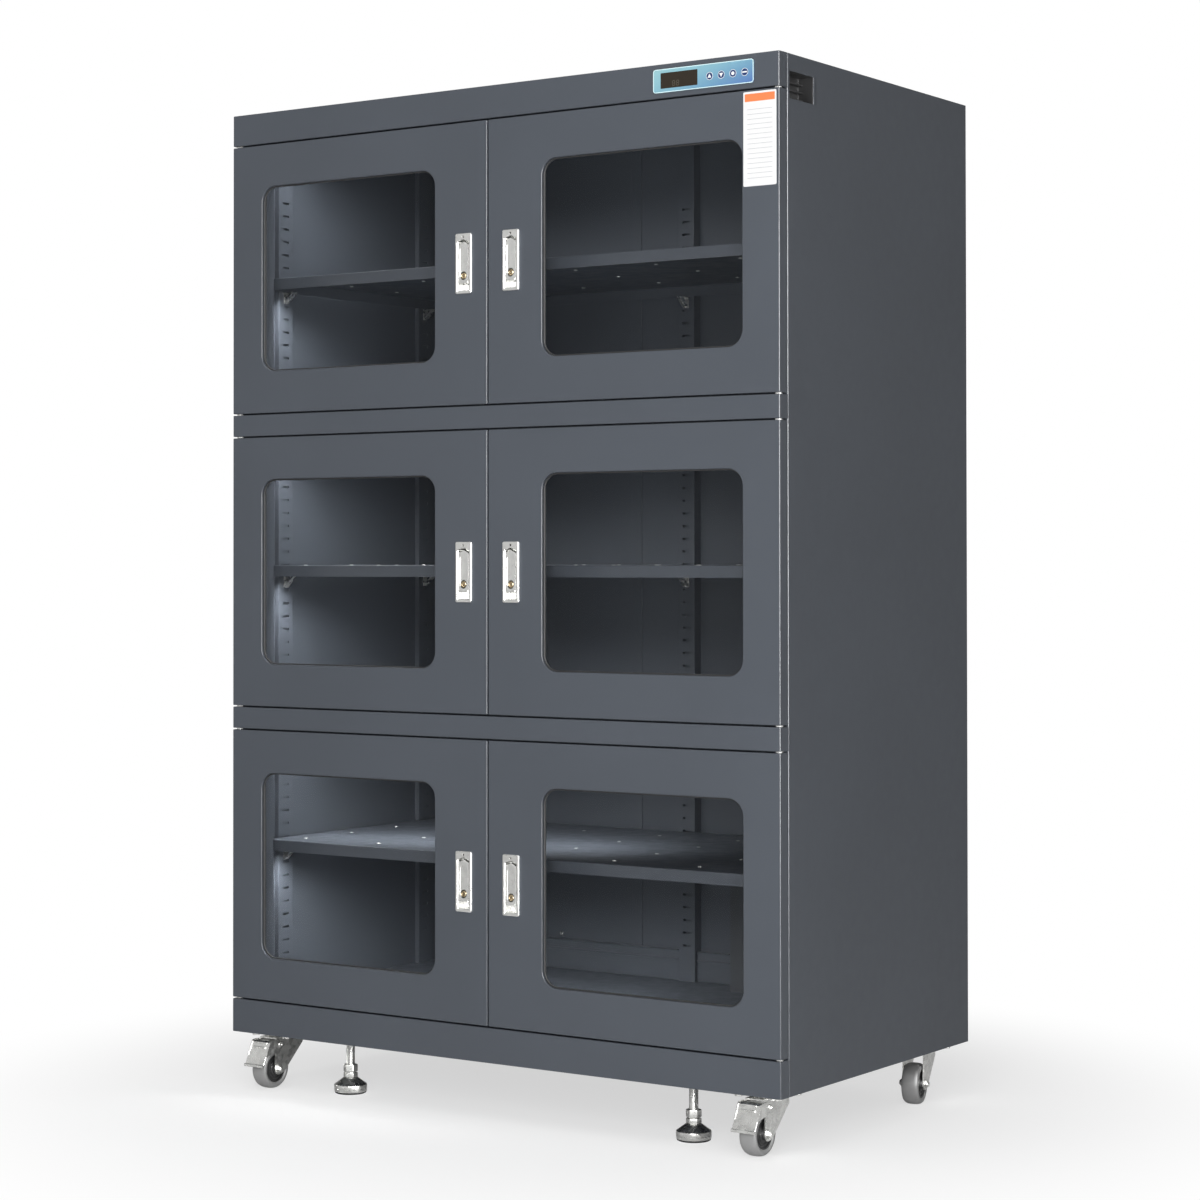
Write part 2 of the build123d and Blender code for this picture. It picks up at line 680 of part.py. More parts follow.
with BuildPart() as caster_plates:
    for end in caster_y:
        for side in sides.values():
            centre = (side * caster_x, caster_y[end])
            plate_x = (centre[0] - plate_size[0] / 2, centre[0] + plate_size[0] / 2)
            plate_y = (centre[1] - plate_size[1] / 2, centre[1] + plate_size[1] / 2)
            block(plate_x, plate_y, (base - plate_thickness, base))
            with BuildSketch(Plane.XY.offset(base - plate_thickness)):
                with Locations(centre):
                    RegularPolygon(race_radius, 16)
            extrude(amount=-race_height)
            post(centre, kingpin_radius, base + head_top, -head_top - plate_thickness)
            with BuildSketch(Plane.XY.offset(base + head_top)):
                with Locations(centre):
                    RegularPolygon(kingpin_head[0], 6)
            extrude(amount=-kingpin_head[1])
save(caster_plates.part, "caster_plates")


def fork_outline(shift, drop):
    """Side view of the fork's cheeks, shifted forwards and down."""
    with BuildSketch(Plane.YZ) as outline:
        with Locations((axle[0] - shift, axle[1] - drop)):
            RegularPolygon(axle_boss, 12)
        with Locations(((fork_back - fork_front) / 2 - shift, fork_top - fork_shoulder / 2 - drop)):
            Rectangle(fork_front + fork_back, fork_shoulder)
        make_hull()
    return outline.sketch


def make_fork(braked):
    """Stamped fork: two cheeks joined by a top and a curved back, and the axle bolt."""
    with BuildPart() as fork:
        extrude(fork_outline(0, 0), amount=cheek_outer, both=True)
        fillet(fork.edges().filter_by(Axis.X, reverse=True).group_by(Axis.Y)[-1], 2 * fork_sheet)
        extrude(fork_outline(fork_sheet, fork_sheet), amount=fork_inside / 2, both=True,
                mode=Mode.SUBTRACT)
        rod(axle, wheel_radius + wheel_clearance, -fork_inside / 2, fork_inside / 2, Mode.SUBTRACT)
        post((0, 0), kingpin_radius + slack, fork_top - fork_sheet, fork_sheet, Mode.SUBTRACT)
        rod(axle, axle_radius, -cheek_outer, cheek_outer)
        head_radius, head_height = axle_head
        for side in sides.values():
            with BuildSketch(Plane.YZ.offset(side * cheek_outer)):
                with Locations(axle):
                    RegularPolygon(head_radius, 6)
            extrude(amount=side * head_height)
        if braked:
            grip = pedal_pin_radius + slack
            block((-cheek_outer, cheek_outer), (pedal_pivot[0] - grip, pedal_pivot[0] + grip),
                  (pedal_pivot[1] - grip, pedal_pivot[1] + grip), Mode.SUBTRACT)
    return fork.part


def make_wheel():
    """Wheel that runs on the axle bolt."""
    with BuildPart() as wheel:
        rod((0, 0), wheel_radius, -wheel_width / 2, wheel_width / 2)
        rod((0, 0), axle_radius + slack, -wheel_width / 2, wheel_width / 2, Mode.SUBTRACT)
    return wheel.part


def make_pedal():
    """Brake pedal: a bent plate with a rolled lip, two ears outside the fork and its pin."""
    lip = (pedal_lip_radius - pedal_reach - caster_setbacks["front"], -pedal_lip_drop)
    with BuildPart() as pedal:
        with BuildSketch(Plane.YZ):
            with BuildLine():
                FilletPolyline(pedal_top, pedal_shoulder, pedal_foot, lip, radius=2 * pedal_sheet)
            trace(line_width=pedal_sheet)
        extrude(amount=pedal_half, both=True)
        rod(lip, pedal_lip_radius, -pedal_half, pedal_half)
        for side in sides.values():
            with BuildSketch(Plane.YZ.offset(side * pedal_half)):
                with Locations(pedal_pivot):
                    Circle(pedal_ear_radius)
                with BuildLine():
                    Polyline(pedal_top, pedal_shoulder, pedal_foot, close=True)
                make_face()
                make_hull()
            extrude(amount=-side * pedal_ear)
        with BuildSketch(Plane.YZ):
            with Locations(pedal_pivot):
                RegularPolygon(pedal_pin_radius, 8)
        extrude(amount=pedal_half, both=True)
    return pedal.part


forks = {"front": make_fork(True), "rear": make_fork(False)}
wheel = Pos(0, axle[0], axle[1]) * make_wheel()
pedal = make_pedal()
for name, turn in caster_turns.items():
    end, side_name = name.split("_")
    place = Location((sides[side_name] * caster_x, caster_y[end], base), (0, 0, turn))
    save(place * forks[end], f"{name}_caster_fork")
    save(place * wheel, f"{name}_caster_wheel")
    if end == "front":
        save(place * pedal, f"{name}_brake_pedal")

# ---- Levelling feet ------------------------------------------------------------------------------
with BuildPart() as foot:
    cone_radius, cone_top = foot_cone_top
    stem_top = floor_top - sheet - foot_travel - beam_sheet
    with BuildSketch(Plane.XZ):
        with BuildLine():
            Polyline((0, 0), (foot_radius, 0), (foot_radius, foot_band),
                     (cone_radius, cone_top), (stem_radius, cone_top), (stem_radius, stem_top),
                     (0, stem_top), close=True)
        make_face()
    revolve(axis=Axis.Z)
    for low, high in (lower_nut, jam_nut):
        with BuildSketch(Plane.XY.offset(low)):
            RegularPolygon(nut_radius, 6)
        extrude(amount=high - low)
for side_name, side in sides.items():
    save(Pos(side * foot_x, foot_y, 0) * foot.part, f"{side_name}_levelling_foot")
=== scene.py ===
import logging
import math
from collections.abc import Callable, Sequence
from dataclasses import dataclass
from enum import Enum

import bmesh
import bpy
from bmesh.types import BMEdge, BMVert
from mathutils import Matrix, Vector


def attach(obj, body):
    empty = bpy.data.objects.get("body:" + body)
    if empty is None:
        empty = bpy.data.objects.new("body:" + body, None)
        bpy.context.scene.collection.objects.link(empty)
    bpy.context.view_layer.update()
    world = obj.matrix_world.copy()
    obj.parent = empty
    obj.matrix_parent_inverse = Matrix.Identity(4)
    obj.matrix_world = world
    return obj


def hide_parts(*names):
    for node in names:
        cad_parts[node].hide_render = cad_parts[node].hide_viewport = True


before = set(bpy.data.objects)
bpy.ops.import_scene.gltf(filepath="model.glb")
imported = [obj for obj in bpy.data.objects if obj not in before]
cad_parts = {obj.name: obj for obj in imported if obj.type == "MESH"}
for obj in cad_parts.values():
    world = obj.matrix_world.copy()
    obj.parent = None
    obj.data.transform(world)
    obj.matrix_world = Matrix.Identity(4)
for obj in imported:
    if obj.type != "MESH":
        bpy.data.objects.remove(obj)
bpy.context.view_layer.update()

LOG = logging.getLogger("dry_cabinet")

Point = tuple[float, float, float]
Flat = tuple[float, float]
EdgeTest = Callable[[Vector, Vector], bool]

MM = 0.001  # shapes are worked out in millimetres and placed in metres
NOISE_SPAN = (0.3, 0.7)  # nearly all of a noise lies between these two values
SHARP = 0.5  # an edge turned by more than this, in radians, can be rounded
CREASE = 35.0  # an edge turned by more than this, in degrees, shows as a crease
EDGE_TURN = 40.0  # an edge turned by more than this, in degrees, gets its fine rounding


# ---- Sizes shared by the sub-assemblies ---------------------------------------------------------
@dataclass(frozen=True)
class Layout:
    """Planes and heights of the cabinet that more than one sub-assembly meets."""

    front: float = -334.0
    back: float = 350.0
    base: float = 105.0
    top: float = 1840.0
    half: float = 600.0
    sheet: float = 1.2
    frame_face: float = -306.5
    floor_top: float = 167.0
    rail: float = 40.0
    gap: float = 3.0
    header: float = 1782.0
    door_height: float = 505.667
    post_inner: float = 562.0
    strike: float = 30.0
    slot_pitch: float = 25.0
    first_slot: float = 238.0
    slot_count: int = 59
    upright_face: float = 588.8
    shelf_slots: tuple[int, ...] = (8, 19, 29, 40, 51)
    shelf_seat: float = 2.0
    shelf_height: float = 21.5
    rear_upright: float = 325.8
    hinge_x: float = 591.5
    hinge_y: float = -322.0
    panel_x: Flat = (353.0, 552.0)
    panel_z: Flat = (1791.0, 1831.0)
    rows: tuple[str, ...] = ("lower", "middle", "upper")

    def bottom(self, row: str) -> float:
        """Height of the lower edge of a row's doors."""
        pitch = self.door_height + 2 * self.gap + self.rail
        return self.floor_top + self.gap + self.rows.index(row) * pitch

    def shelf_levels(self) -> list[float]:
        """Heights of the shelves' undersides."""
        return [self.first_slot + slot * self.slot_pitch + self.shelf_seat
                for slot in self.shelf_slots]


PLAN = Layout()
SIDES = {"left": -1, "right": 1}
CASTER_X = 535.0
CASTER_ENDS = {"front": -265.0, "rear": 281.0}
CASTER_TURNS = {"rear_right": 12.0}  # degrees that a fork is stored turned by


def near(value: float, target: float) -> bool:
    """Whether two lengths agree to a hundredth of a millimetre."""
    return abs(value - target) < 0.01


def lies(start: Vector, end: Vector, **planes: float) -> bool:
    """Whether both ends of an edge lie on planes that are named by axis, as in y=-334."""
    return all(near(getattr(point, axis), value)
               for point in (start, end) for axis, value in planes.items())


# ---- Finishes -----------------------------------------------------------------------------------
class Slot(Enum):
    """Material slots of the cabinet's record."""

    COAT = "powder_coat"
    ZINC = "zinc_plate"
    CHROME = "satin_chrome"
    BRASS = "key_brass"
    GLASS = "window_glass"
    RUBBER = "seal_rubber"
    TREAD = "caster_tread"
    FILM = "panel_film"
    DRYER = "dryer_housing"
    TRAY = "desiccant_plastic"
    BLACK = "black_plastic"


class Recipe:
    """Shader nodes of one material, laid on Object coordinates."""

    def __init__(self, name: str) -> None:
        """Start a material with a Principled shader.

        Args:
            name: The material's name.
        """
        self.material = bpy.data.materials.new(name)
        self.material.use_nodes = True
        self.tree = self.material.node_tree
        self.shader = self.tree.nodes["Principled BSDF"]
        self.where = self.add("ShaderNodeTexCoord").outputs["Object"]

    def add(self, kind: str, **inputs: object) -> bpy.types.Node:
        """Add a node.

        Args:
            kind: The node's type.
            inputs: Values of its sockets, with _ for a space.

        Returns:
            The new node.
        """
        node = self.tree.nodes.new(kind)
        for name, value in inputs.items():
            node.inputs[name.replace("_", " ")].default_value = value
        return node

    def link(self, source: bpy.types.NodeSocket, target: bpy.types.NodeSocket) -> None:
        """Join an output to an input."""
        self.tree.links.new(source, target)

    def noise(self, scale: float, detail: float = 2.0) -> bpy.types.NodeSocket:
        """Soft noise over the surface.

        Args:
            scale: Grains per metre.
            detail: Octaves of finer grain.

        Returns:
            The output with the noise, from 0 to 1.
        """
        node = self.add("ShaderNodeTexNoise", Scale=scale, Detail=detail)
        self.link(self.where, node.inputs["Vector"])
        return node.outputs[0]

    def spread(self, source: bpy.types.NodeSocket, low: float, high: float) -> bpy.types.NodeSocket:
        """Stretch a noise over a range of values.

        Args:
            source: Output with the noise.
            low: Value for the noise's low end.
            high: Value for its high end.

        Returns:
            The output with the value.
        """
        node = self.add("ShaderNodeMapRange", From_Min=NOISE_SPAN[0], From_Max=NOISE_SPAN[1],
                        To_Min=low, To_Max=high)
        self.link(source, node.inputs["Value"])
        return node.outputs["Result"]

    def ramp(self, source: bpy.types.NodeSocket, stops: Sequence[tuple[float, Sequence[float]]]
             ) -> bpy.types.NodeSocket:
        """Colours by value.

        Args:
            source: Output with the value.
            stops: Positions and their colours, two or more.

        Returns:
            The output with the colour.
        """
        node = self.add("ShaderNodeValToRGB")
        line = node.color_ramp.elements
        while len(line) < len(stops):
            line.new(0.5)
        for element, (position, color) in zip(line, stops):
            element.position = position
            element.color = (*color, 1.0)
        self.link(source, node.inputs["Fac"])
        return node.outputs["Color"]

    def grain(self, height: bpy.types.NodeSocket, depth: float) -> None:
        """Raise the surface by a height map.

        Args:
            height: Output with the height, from 0 to 1.
            depth: Height of 1, in millimetres.
        """
        node = self.add("ShaderNodeBump", Strength=1.0, Distance=depth * MM)
        self.link(height, node.inputs["Height"])
        self.link(node.outputs["Normal"], self.shader.inputs["Normal"])


@dataclass(frozen=True)
class Finish:
    """A finish: its colour and gloss, how both drift over the surface, and its fine grain."""

    name: str
    slot: Slot
    color: Point
    drift: float = 0.05
    drift_scale: float = 3.0
    metallic: float = 0.0
    roughness: Flat = (0.4, 0.5)
    wear_scale: float = 40.0
    grain: float = 600.0
    grain_depth: float = 0.02
    specular: float = 0.5
    coat: float = 0.0
    alpha: float = 1.0

    def tint(self, recipe: Recipe) -> bpy.types.NodeSocket:
        """Colour of the surface, drifting slowly about its mean.

        Args:
            recipe: The material's nodes.

        Returns:
            The output with the colour.
        """
        cloud = recipe.noise(self.drift_scale, 3.0)
        hues = ([min(1.0, part * (1 + step)) for part in self.color]
                for step in (-self.drift, self.drift))
        return recipe.ramp(cloud, tuple(zip(NOISE_SPAN, hues)))

    def material(self) -> bpy.types.Material:
        """Make the finish's material, the first time it is asked for.

        Returns:
            The material.
        """
        known = bpy.data.materials.get(self.name)
        if known is not None:
            return known
        recipe = Recipe(self.name)
        shader = recipe.shader
        shader.inputs["Metallic"].default_value = self.metallic
        shader.inputs["Specular IOR Level"].default_value = self.specular
        shader.inputs["Coat Weight"].default_value = self.coat
        shader.inputs["Alpha"].default_value = self.alpha
        recipe.link(self.tint(recipe), shader.inputs["Base Color"])
        worn = recipe.noise(self.wear_scale, 3.0)
        recipe.link(recipe.spread(worn, *self.roughness), shader.inputs["Roughness"])
        if self.grain_depth:
            recipe.grain(recipe.noise(self.grain), self.grain_depth)
        return recipe.material


@dataclass(frozen=True)
class FilmFinish(Finish):
    """Printed film whose colour runs from one hue to another along X and down."""

    fall: float = 0.4
    hues: tuple[Point, ...] = ()

    def tint(self, recipe: Recipe) -> bpy.types.NodeSocket:
        """Hues by place along X and, for the share that fall gives, by height.

        Args:
            recipe: The material's nodes.

        Returns:
            The output with the colour.
        """
        parts = recipe.add("ShaderNodeSeparateXYZ")
        recipe.link(recipe.where, parts.inputs["Vector"])
        mean = recipe.add("ShaderNodeMix", Factor=self.fall)
        for letter, ends, share in (("X", PLAN.panel_x, "A"), ("Z", PLAN.panel_z[::-1], "B")):
            run = recipe.add("ShaderNodeMapRange", From_Min=ends[0] * MM, From_Max=ends[1] * MM)
            recipe.link(parts.outputs[letter], run.inputs["Value"])
            recipe.link(run.outputs["Result"], mean.inputs[share])
        step = 1.0 / (len(self.hues) - 1)
        return recipe.ramp(mean.outputs["Result"],
                           [(i * step, hue) for i, hue in enumerate(self.hues)])


COAT = Finish("slate_powder_coat", Slot.COAT, (0.062, 0.071, 0.086), roughness=(0.32, 0.42),
              grain=900.0, grain_depth=0.01, specular=0.4)
ZINC = Finish("bright_zinc", Slot.ZINC, (0.72, 0.72, 0.70), drift=0.12, drift_scale=60.0,
              metallic=1.0, roughness=(0.2, 0.36), wear_scale=90.0, grain=500.0,
              grain_depth=0.004)
CHROME = Finish("cast_chrome", Slot.CHROME, (0.72, 0.72, 0.70), drift=0.06, drift_scale=80.0,
                metallic=1.0, roughness=(0.26, 0.38), wear_scale=120.0, grain=700.0,
                grain_depth=0.003)
BRASS = Finish("plug_brass", Slot.BRASS, (0.42, 0.34, 0.22), drift=0.15, drift_scale=200.0,
               metallic=1.0, roughness=(0.22, 0.4), wear_scale=200.0)
GLASS = Finish("tinted_pane", Slot.GLASS, (0.03, 0.033, 0.036), roughness=(0.02, 0.04),
               wear_scale=5.0, grain_depth=0.0, specular=0.3, alpha=0.07)
RUBBER = Finish("black_rubber", Slot.RUBBER, (0.014, 0.014, 0.015), roughness=(0.55, 0.75),
                grain=1500.0, grain_depth=0.03)
TREAD = Finish("grey_tread", Slot.TREAD, (0.27, 0.27, 0.27), roughness=(0.42, 0.55),
               wear_scale=60.0)
BLACK = Finish("black_nylon", Slot.BLACK, (0.02, 0.02, 0.021), roughness=(0.35, 0.5), grain=800.0)
# Pale nylon; on the hinge washers its pale colour also paints the bright highlight dots at the door
# gaps.
PALE_NYLON_AND_GLINT = Finish("pale_nylon_and_glint", Slot.ZINC, (0.80, 0.80, 0.78), roughness=(0.3, 0.4))
DRYER = Finish("dryer_shell", Slot.DRYER, (0.05, 0.055, 0.062), roughness=(0.5, 0.62), grain=1200.0)
TRAY = Finish("ivory_tray", Slot.TRAY, (0.62, 0.60, 0.54), roughness=(0.45, 0.6))
FILM = FilmFinish("panel_gradient", Slot.FILM, (0.1, 0.33, 0.48), roughness=(0.16, 0.24),
                  grain_depth=0.004, coat=0.3,
                  hues=((0.26, 0.48, 0.52), (0.21, 0.42, 0.50), (0.13, 0.29, 0.43), (0.07, 0.15, 0.40)))
FILM_RIM = Finish("panel_rim", Slot.FILM, (0.62, 0.82, 0.84), roughness=(0.2, 0.3))
DISPLAY = Finish("display_window", Slot.FILM, (0.026, 0.020, 0.013), roughness=(0.06, 0.12),
                 grain_depth=0.0, specular=0.2)
DIGITS = Finish("display_digits", Slot.FILM, (0.13, 0.115, 0.09), roughness=(0.2, 0.3),
                grain_depth=0.0)
KEY_BLUE = Finish("key_blue", Slot.FILM, (0.012, 0.035, 0.13), roughness=(0.2, 0.3))
INK_WHITE = Finish("ink_white", Slot.FILM, (0.80, 0.82, 0.82), roughness=(0.3, 0.4))
CARD = Finish("card_white", Slot.FILM, (0.72, 0.72, 0.72), drift=0.01, roughness=(0.4, 0.55),
              grain=1500.0)
CARD_INK = Finish("card_ink", Slot.FILM, (0.36, 0.37, 0.40), roughness=(0.5, 0.6))
CARD_BAND = Finish("card_band", Slot.FILM, (0.80, 0.20, 0.06), roughness=(0.4, 0.5))


# ---- Shapes -------------------------------------------------------------------------------------
class Axis(Enum):
    """Directions along which an outline is drawn out, with the two axes that it is drawn in."""

    X = (1, 2, 0)
    Y = (0, 2, 1)
    Z = (0, 1, 2)

    def point(self, across: float, up: float, along: float) -> Vector:
        """Point at two places on the outline's plane and one along the axis.

        Args:
            across: Place along the outline's first axis.
            up: Place along its second axis.
            along: Place along the axis that it is drawn out on.

        Returns:
            The point.
        """
        spot = Vector((0.0, 0.0, 0.0))
        for index, value in zip(self.value, (across, up, along)):
            spot[index] = value
        return spot


class Shape:
    """A mesh being modelled, in millimetres and in the cabinet's own frame."""

    def __init__(self) -> None:
        """Start with nothing."""
        self.bm = bmesh.new()

    @classmethod
    def block(cls, low: Sequence[float], high: Sequence[float], radius: float = 0.0,
              steps: int = 3, pick: EdgeTest | None = None) -> "Shape":
        """Block between two corners.

        Args:
            low: Its lowest corner.
            high: Its highest corner.
            radius: Rounding of its edges.
            steps: Facets of each rounding.
            pick: Chooses the edges to round by their ends, or None for all.

        Returns:
            The block.
        """
        shape = cls()
        verts = bmesh.ops.create_cube(shape.bm, size=1.0)["verts"]
        bmesh.ops.scale(shape.bm, vec=Vector(high) - Vector(low), verts=verts)
        bmesh.ops.translate(shape.bm, vec=(Vector(low) + Vector(high)) / 2, verts=verts)
        return shape.round(radius, steps, pick) if radius else shape

    @classmethod
    def rod(cls, start: Sequence[float], end: Sequence[float], radius: float,
            sides: int = 32, edge: float = 0.0) -> "Shape":
        """Bar between two points.

        Args:
            start: Middle of one end.
            end: Middle of the other end.
            radius: Its radius, or half the width across corners.
            sides: Number of its sides.
            edge: Rounding of its sharp edges.

        Returns:
            The bar.
        """
        shape = cls()
        along = Vector(end) - Vector(start)
        bmesh.ops.create_cone(shape.bm, cap_ends=True, segments=sides, radius1=radius,
                              radius2=radius, depth=along.length)
        if edge:
            shape.round(edge, 2)
        return shape._stand(along, (Vector(start) + Vector(end)) / 2)

    @classmethod
    def lathe(cls, profile: Sequence[Flat], origin: Sequence[float], along: Point = (0, 0, 1),
              steps: int = 48, closed: bool = False) -> "Shape":
        """Turned shape.

        Args:
            profile: Pairs of a radius and a height, from one end to the other.
            origin: The point at radius and height 0.
            along: Direction of the height.
            steps: Facets round the axis.
            closed: Whether the last pair joins the first, as in a ring.

        Returns:
            The turned shape.
        """
        shape = cls()
        bm = shape.bm
        verts = [bm.verts.new((radius, 0.0, height)) for radius, height in profile]
        ends = verts[1:] + verts[:1] if closed else verts[1:]
        edges = [bm.edges.new(pair) for pair in zip(verts, ends)]
        bmesh.ops.spin(bm, geom=verts + edges, cent=(0, 0, 0), axis=(0, 0, 1), angle=math.tau,
                       steps=steps, use_merge=True)
        bmesh.ops.remove_doubles(bm, verts=bm.verts, dist=1e-4)
        return shape._stand(Vector(along), Vector(origin))

    @classmethod
    def prism(cls, outline: Sequence[Flat], start: float, end: float, axis: Axis = Axis.Y,
              corner: float = 0.0, steps: int = 6, only: Sequence[int] | None = None,
              hollow: float = 0.0) -> "Shape":
        """Outline drawn out along an axis.

        Args:
            outline: Corners on the outline's plane.
            start: Where it starts along the axis.
            end: Where it ends.
            axis: The axis.
            corner: Rounding of the corners.
            steps: Facets of each corner.
            only: Corners to round, or None for all.
            hollow: Width of the rim that is kept, or 0 for a full plate.

        Returns:
            The prism.
        """
        shape = cls()
        bm = shape.bm
        verts = [bm.verts.new(axis.point(across, up, start)) for across, up in outline]
        bm.faces.new(verts)
        if corner:
            chosen = verts if only is None else [verts[index] for index in only]
            bmesh.ops.bevel(bm, geom=chosen, offset=corner, segments=steps, profile=0.5,
                            affect="VERTICES", material=-1, clamp_overlap=True)
        if hollow:
            middle = list(bm.faces)
            bmesh.ops.inset_region(bm, faces=middle, thickness=hollow, use_boundary=True,
                                   use_even_offset=True)
            bmesh.ops.delete(bm, geom=middle, context="FACES")
        made = bmesh.ops.extrude_face_region(bm, geom=list(bm.faces))["geom"]
        bmesh.ops.translate(bm, vec=axis.point(0, 0, end - start),
                            verts=[part for part in made if isinstance(part, BMVert)])
        return shape

    @classmethod
    def plate(cls, centre: Flat, size: Flat, start: float, end: float, axis: Axis = Axis.Y,
              corner: float = 0.0, steps: int = 6, hollow: float = 0.0) -> "Shape":
        """Rectangular plate, or a rim where hollow gives a width.

        Args:
            centre: Its middle on the outline's plane.
            size: Its width and height.
            start: Where it starts along the axis.
            end: Where it ends.
            axis: The axis.
            corner: Rounding of the corners.
            steps: Facets of each corner.
            hollow: Width of the rim that is kept, or 0 for a full plate.

        Returns:
            The plate.
        """
        (across, up), half, rise = centre, size[0] / 2, size[1] / 2
        outline = ((across - half, up - rise), (across + half, up - rise),
                   (across + half, up + rise), (across - half, up + rise))
        return cls.prism(outline, start, end, axis, corner, steps, None, hollow)

    def _stand(self, along: Vector, origin: Vector) -> "Shape":
        """Turn the shape's Z to a direction and move it to an origin.

        Args:
            along: The direction.
            origin: The origin.

        Returns:
            This shape.
        """
        turn = Vector((0, 0, 1)).rotation_difference(along).to_matrix().to_4x4()
        bmesh.ops.transform(self.bm, matrix=Matrix.Translation(origin) @ turn, verts=self.bm.verts)
        return self

    def round(self, radius: float, steps: int = 3, pick: EdgeTest | None = None) -> "Shape":
        """Round the sharp edges that a test picks.

        Args:
            radius: Width of the rounding on each face.
            steps: Facets of each rounding.
            pick: Chooses the edges by their ends, or None for all.

        Returns:
            This shape.
        """
        edges: list[BMEdge] = [
            edge for edge in self.bm.edges
            if len(edge.link_faces) == 2 and abs(edge.calc_face_angle(0.0)) > SHARP
            and (pick is None or pick(edge.verts[0].co, edge.verts[1].co))]
        bmesh.ops.bevel(self.bm, geom=edges, offset=radius, segments=steps, profile=0.5,
                        affect="EDGES", material=-1, clamp_overlap=True)
        return self

    def thicken(self, steel: float, outwards: Point) -> "Shape":
        """Give an open sheet its thickness.

        Args:
            steel: The thickness.
            outwards: Direction that the first face looks in.

        Returns:
            The sheet as a solid.
        """
        bmesh.ops.recalc_face_normals(self.bm, faces=self.bm.faces)
        self.bm.normal_update()
        self.bm.faces.ensure_lookup_table()
        if self.bm.faces[0].normal.dot(Vector(outwards)) < 0:
            bmesh.ops.reverse_faces(self.bm, faces=self.bm.faces)
        bmesh.ops.solidify(self.bm, geom=list(self.bm.faces), thickness=steel)
        return self

    def add(self, *others: "Shape") -> "Shape":
        """Take other shapes into this one.

        Args:
            others: The shapes, which are used up.

        Returns:
            This shape.
        """
        for other in others:
            mesh = other.mesh("taken")
            self.bm.from_mesh(mesh)
            bpy.data.meshes.remove(mesh)
            other.bm.free()
        return self

    def mesh(self, name: str) -> bpy.types.Mesh:
        """Write the shape as a mesh with its faces turned outwards.

        Args:
            name: The mesh's name.

        Returns:
            The mesh.
        """
        bmesh.ops.recalc_face_normals(self.bm, faces=self.bm.faces)
        mesh = bpy.data.meshes.new(name)
        self.bm.to_mesh(mesh)
        return mesh

    def carve(self, *cutters: "Shape") -> "Shape":
        """Cut other shapes out of this one.

        Args:
            cutters: The shapes, which are used up.

        Returns:
            This shape.
        """
        tool = Shape().add(*cutters)
        pair = [bpy.data.objects.new(name, shape.mesh(name))
                for name, shape in (("body", self), ("tool", tool))]
        for item in pair:
            bpy.context.scene.collection.objects.link(item)
        cut = pair[0].modifiers.new("cut", "BOOLEAN")
        cut.operation = "DIFFERENCE"
        cut.solver = "EXACT"
        cut.use_self = True
        cut.object = pair[1]
        left = bpy.data.meshes.new_from_object(
            pair[0].evaluated_get(bpy.context.evaluated_depsgraph_get()))
        self.bm.clear()
        self.bm.from_mesh(left)
        tool.bm.free()
        bpy.data.meshes.remove(left)
        for item in pair:
            bpy.data.meshes.remove(item.data)
        return self

    def flipped(self) -> "Shape":
        """Mirror the shape to the other side of the cabinet's middle.

        Returns:
            This shape.
        """
        bmesh.ops.scale(self.bm, vec=(-1, 1, 1), verts=self.bm.verts)
        bmesh.ops.reverse_faces(self.bm, faces=self.bm.faces)
        return self

    def moved(self, step: Sequence[float]) -> "Shape":
        """Move the shape by a step."""
        bmesh.ops.translate(self.bm, vec=Vector(step), verts=self.bm.verts)
        return self

    def turned(self, degrees: float, axis: str) -> "Shape":
        """Turn the shape about an axis through the origin.

        Args:
            degrees: The turn.
            axis: Letter of the axis.

        Returns:
            This shape.
        """
        bmesh.ops.rotate(self.bm, cent=(0, 0, 0), verts=self.bm.verts,
                         matrix=Matrix.Rotation(math.radians(degrees), 3, axis))
        return self


def weigh_normals(mesh: bpy.types.Mesh) -> None:
    """Shade smoothly across soft edges while large flat faces stay flat.

    Args:
        mesh: The mesh.
    """
    limit = math.cos(math.radians(CREASE))
    faces = [(face.normal.copy(), face.area, tuple(face.vertices)) for face in mesh.polygons]
    around: dict[int, list[tuple[Vector, float]]] = {}
    for normal, area, corners in faces:
        for corner in corners:
            around.setdefault(corner, []).append((normal, area))
    normals = []
    for normal, _, corners in faces:
        for corner in corners:
            total = Vector((0.0, 0.0, 0.0))
            for other, area in around[corner]:
                if other.dot(normal) > limit:
                    total += other * area
            normals.append(total.normalized() if total.length else normal)
    mesh.normals_split_custom_set(normals)


def place(shape: Shape, name: str, body: str, finish: Finish, stands_for: Sequence[str] = (),
          edge: float = 0.0) -> bpy.types.Object:
    """Make a finished shape a piece of the cabinet.

    Args:
        shape: The shape, in millimetres.
        name: The piece's name.
        body: The CAD body that it moves with.
        finish: Its finish.
        stands_for: CAD nodes that it takes the place of.
        edge: Rounding of its remaining sharp edges, in millimetres.

    Returns:
        The piece.
    """
    bmesh.ops.scale(shape.bm, vec=(MM, MM, MM), verts=shape.bm.verts)
    mesh = shape.mesh(name)
    shape.bm.free()
    mesh.shade_smooth()
    mesh.set_sharp_from_angle(angle=math.radians(CREASE))
    weigh_normals(mesh)
    mesh.materials.append(finish.material())
    piece = bpy.data.objects.new(name, mesh)
    bpy.context.scene.collection.objects.link(piece)
    if edge:
        rounding = piece.modifiers.new("edge", "BEVEL")
        rounding.width = edge * MM
        rounding.segments = 2
        rounding.limit_method = "ANGLE"
        rounding.angle_limit = math.radians(EDGE_TURN)
        rounding.harden_normals = True
        flat = piece.modifiers.new("flat", "WEIGHTED_NORMAL")
        flat.weight = 100
        flat.keep_sharp = True
    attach(piece, body)
    if stands_for:
        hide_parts(*stands_for)
    LOG.info("%s on %s", name, body)
    return piece


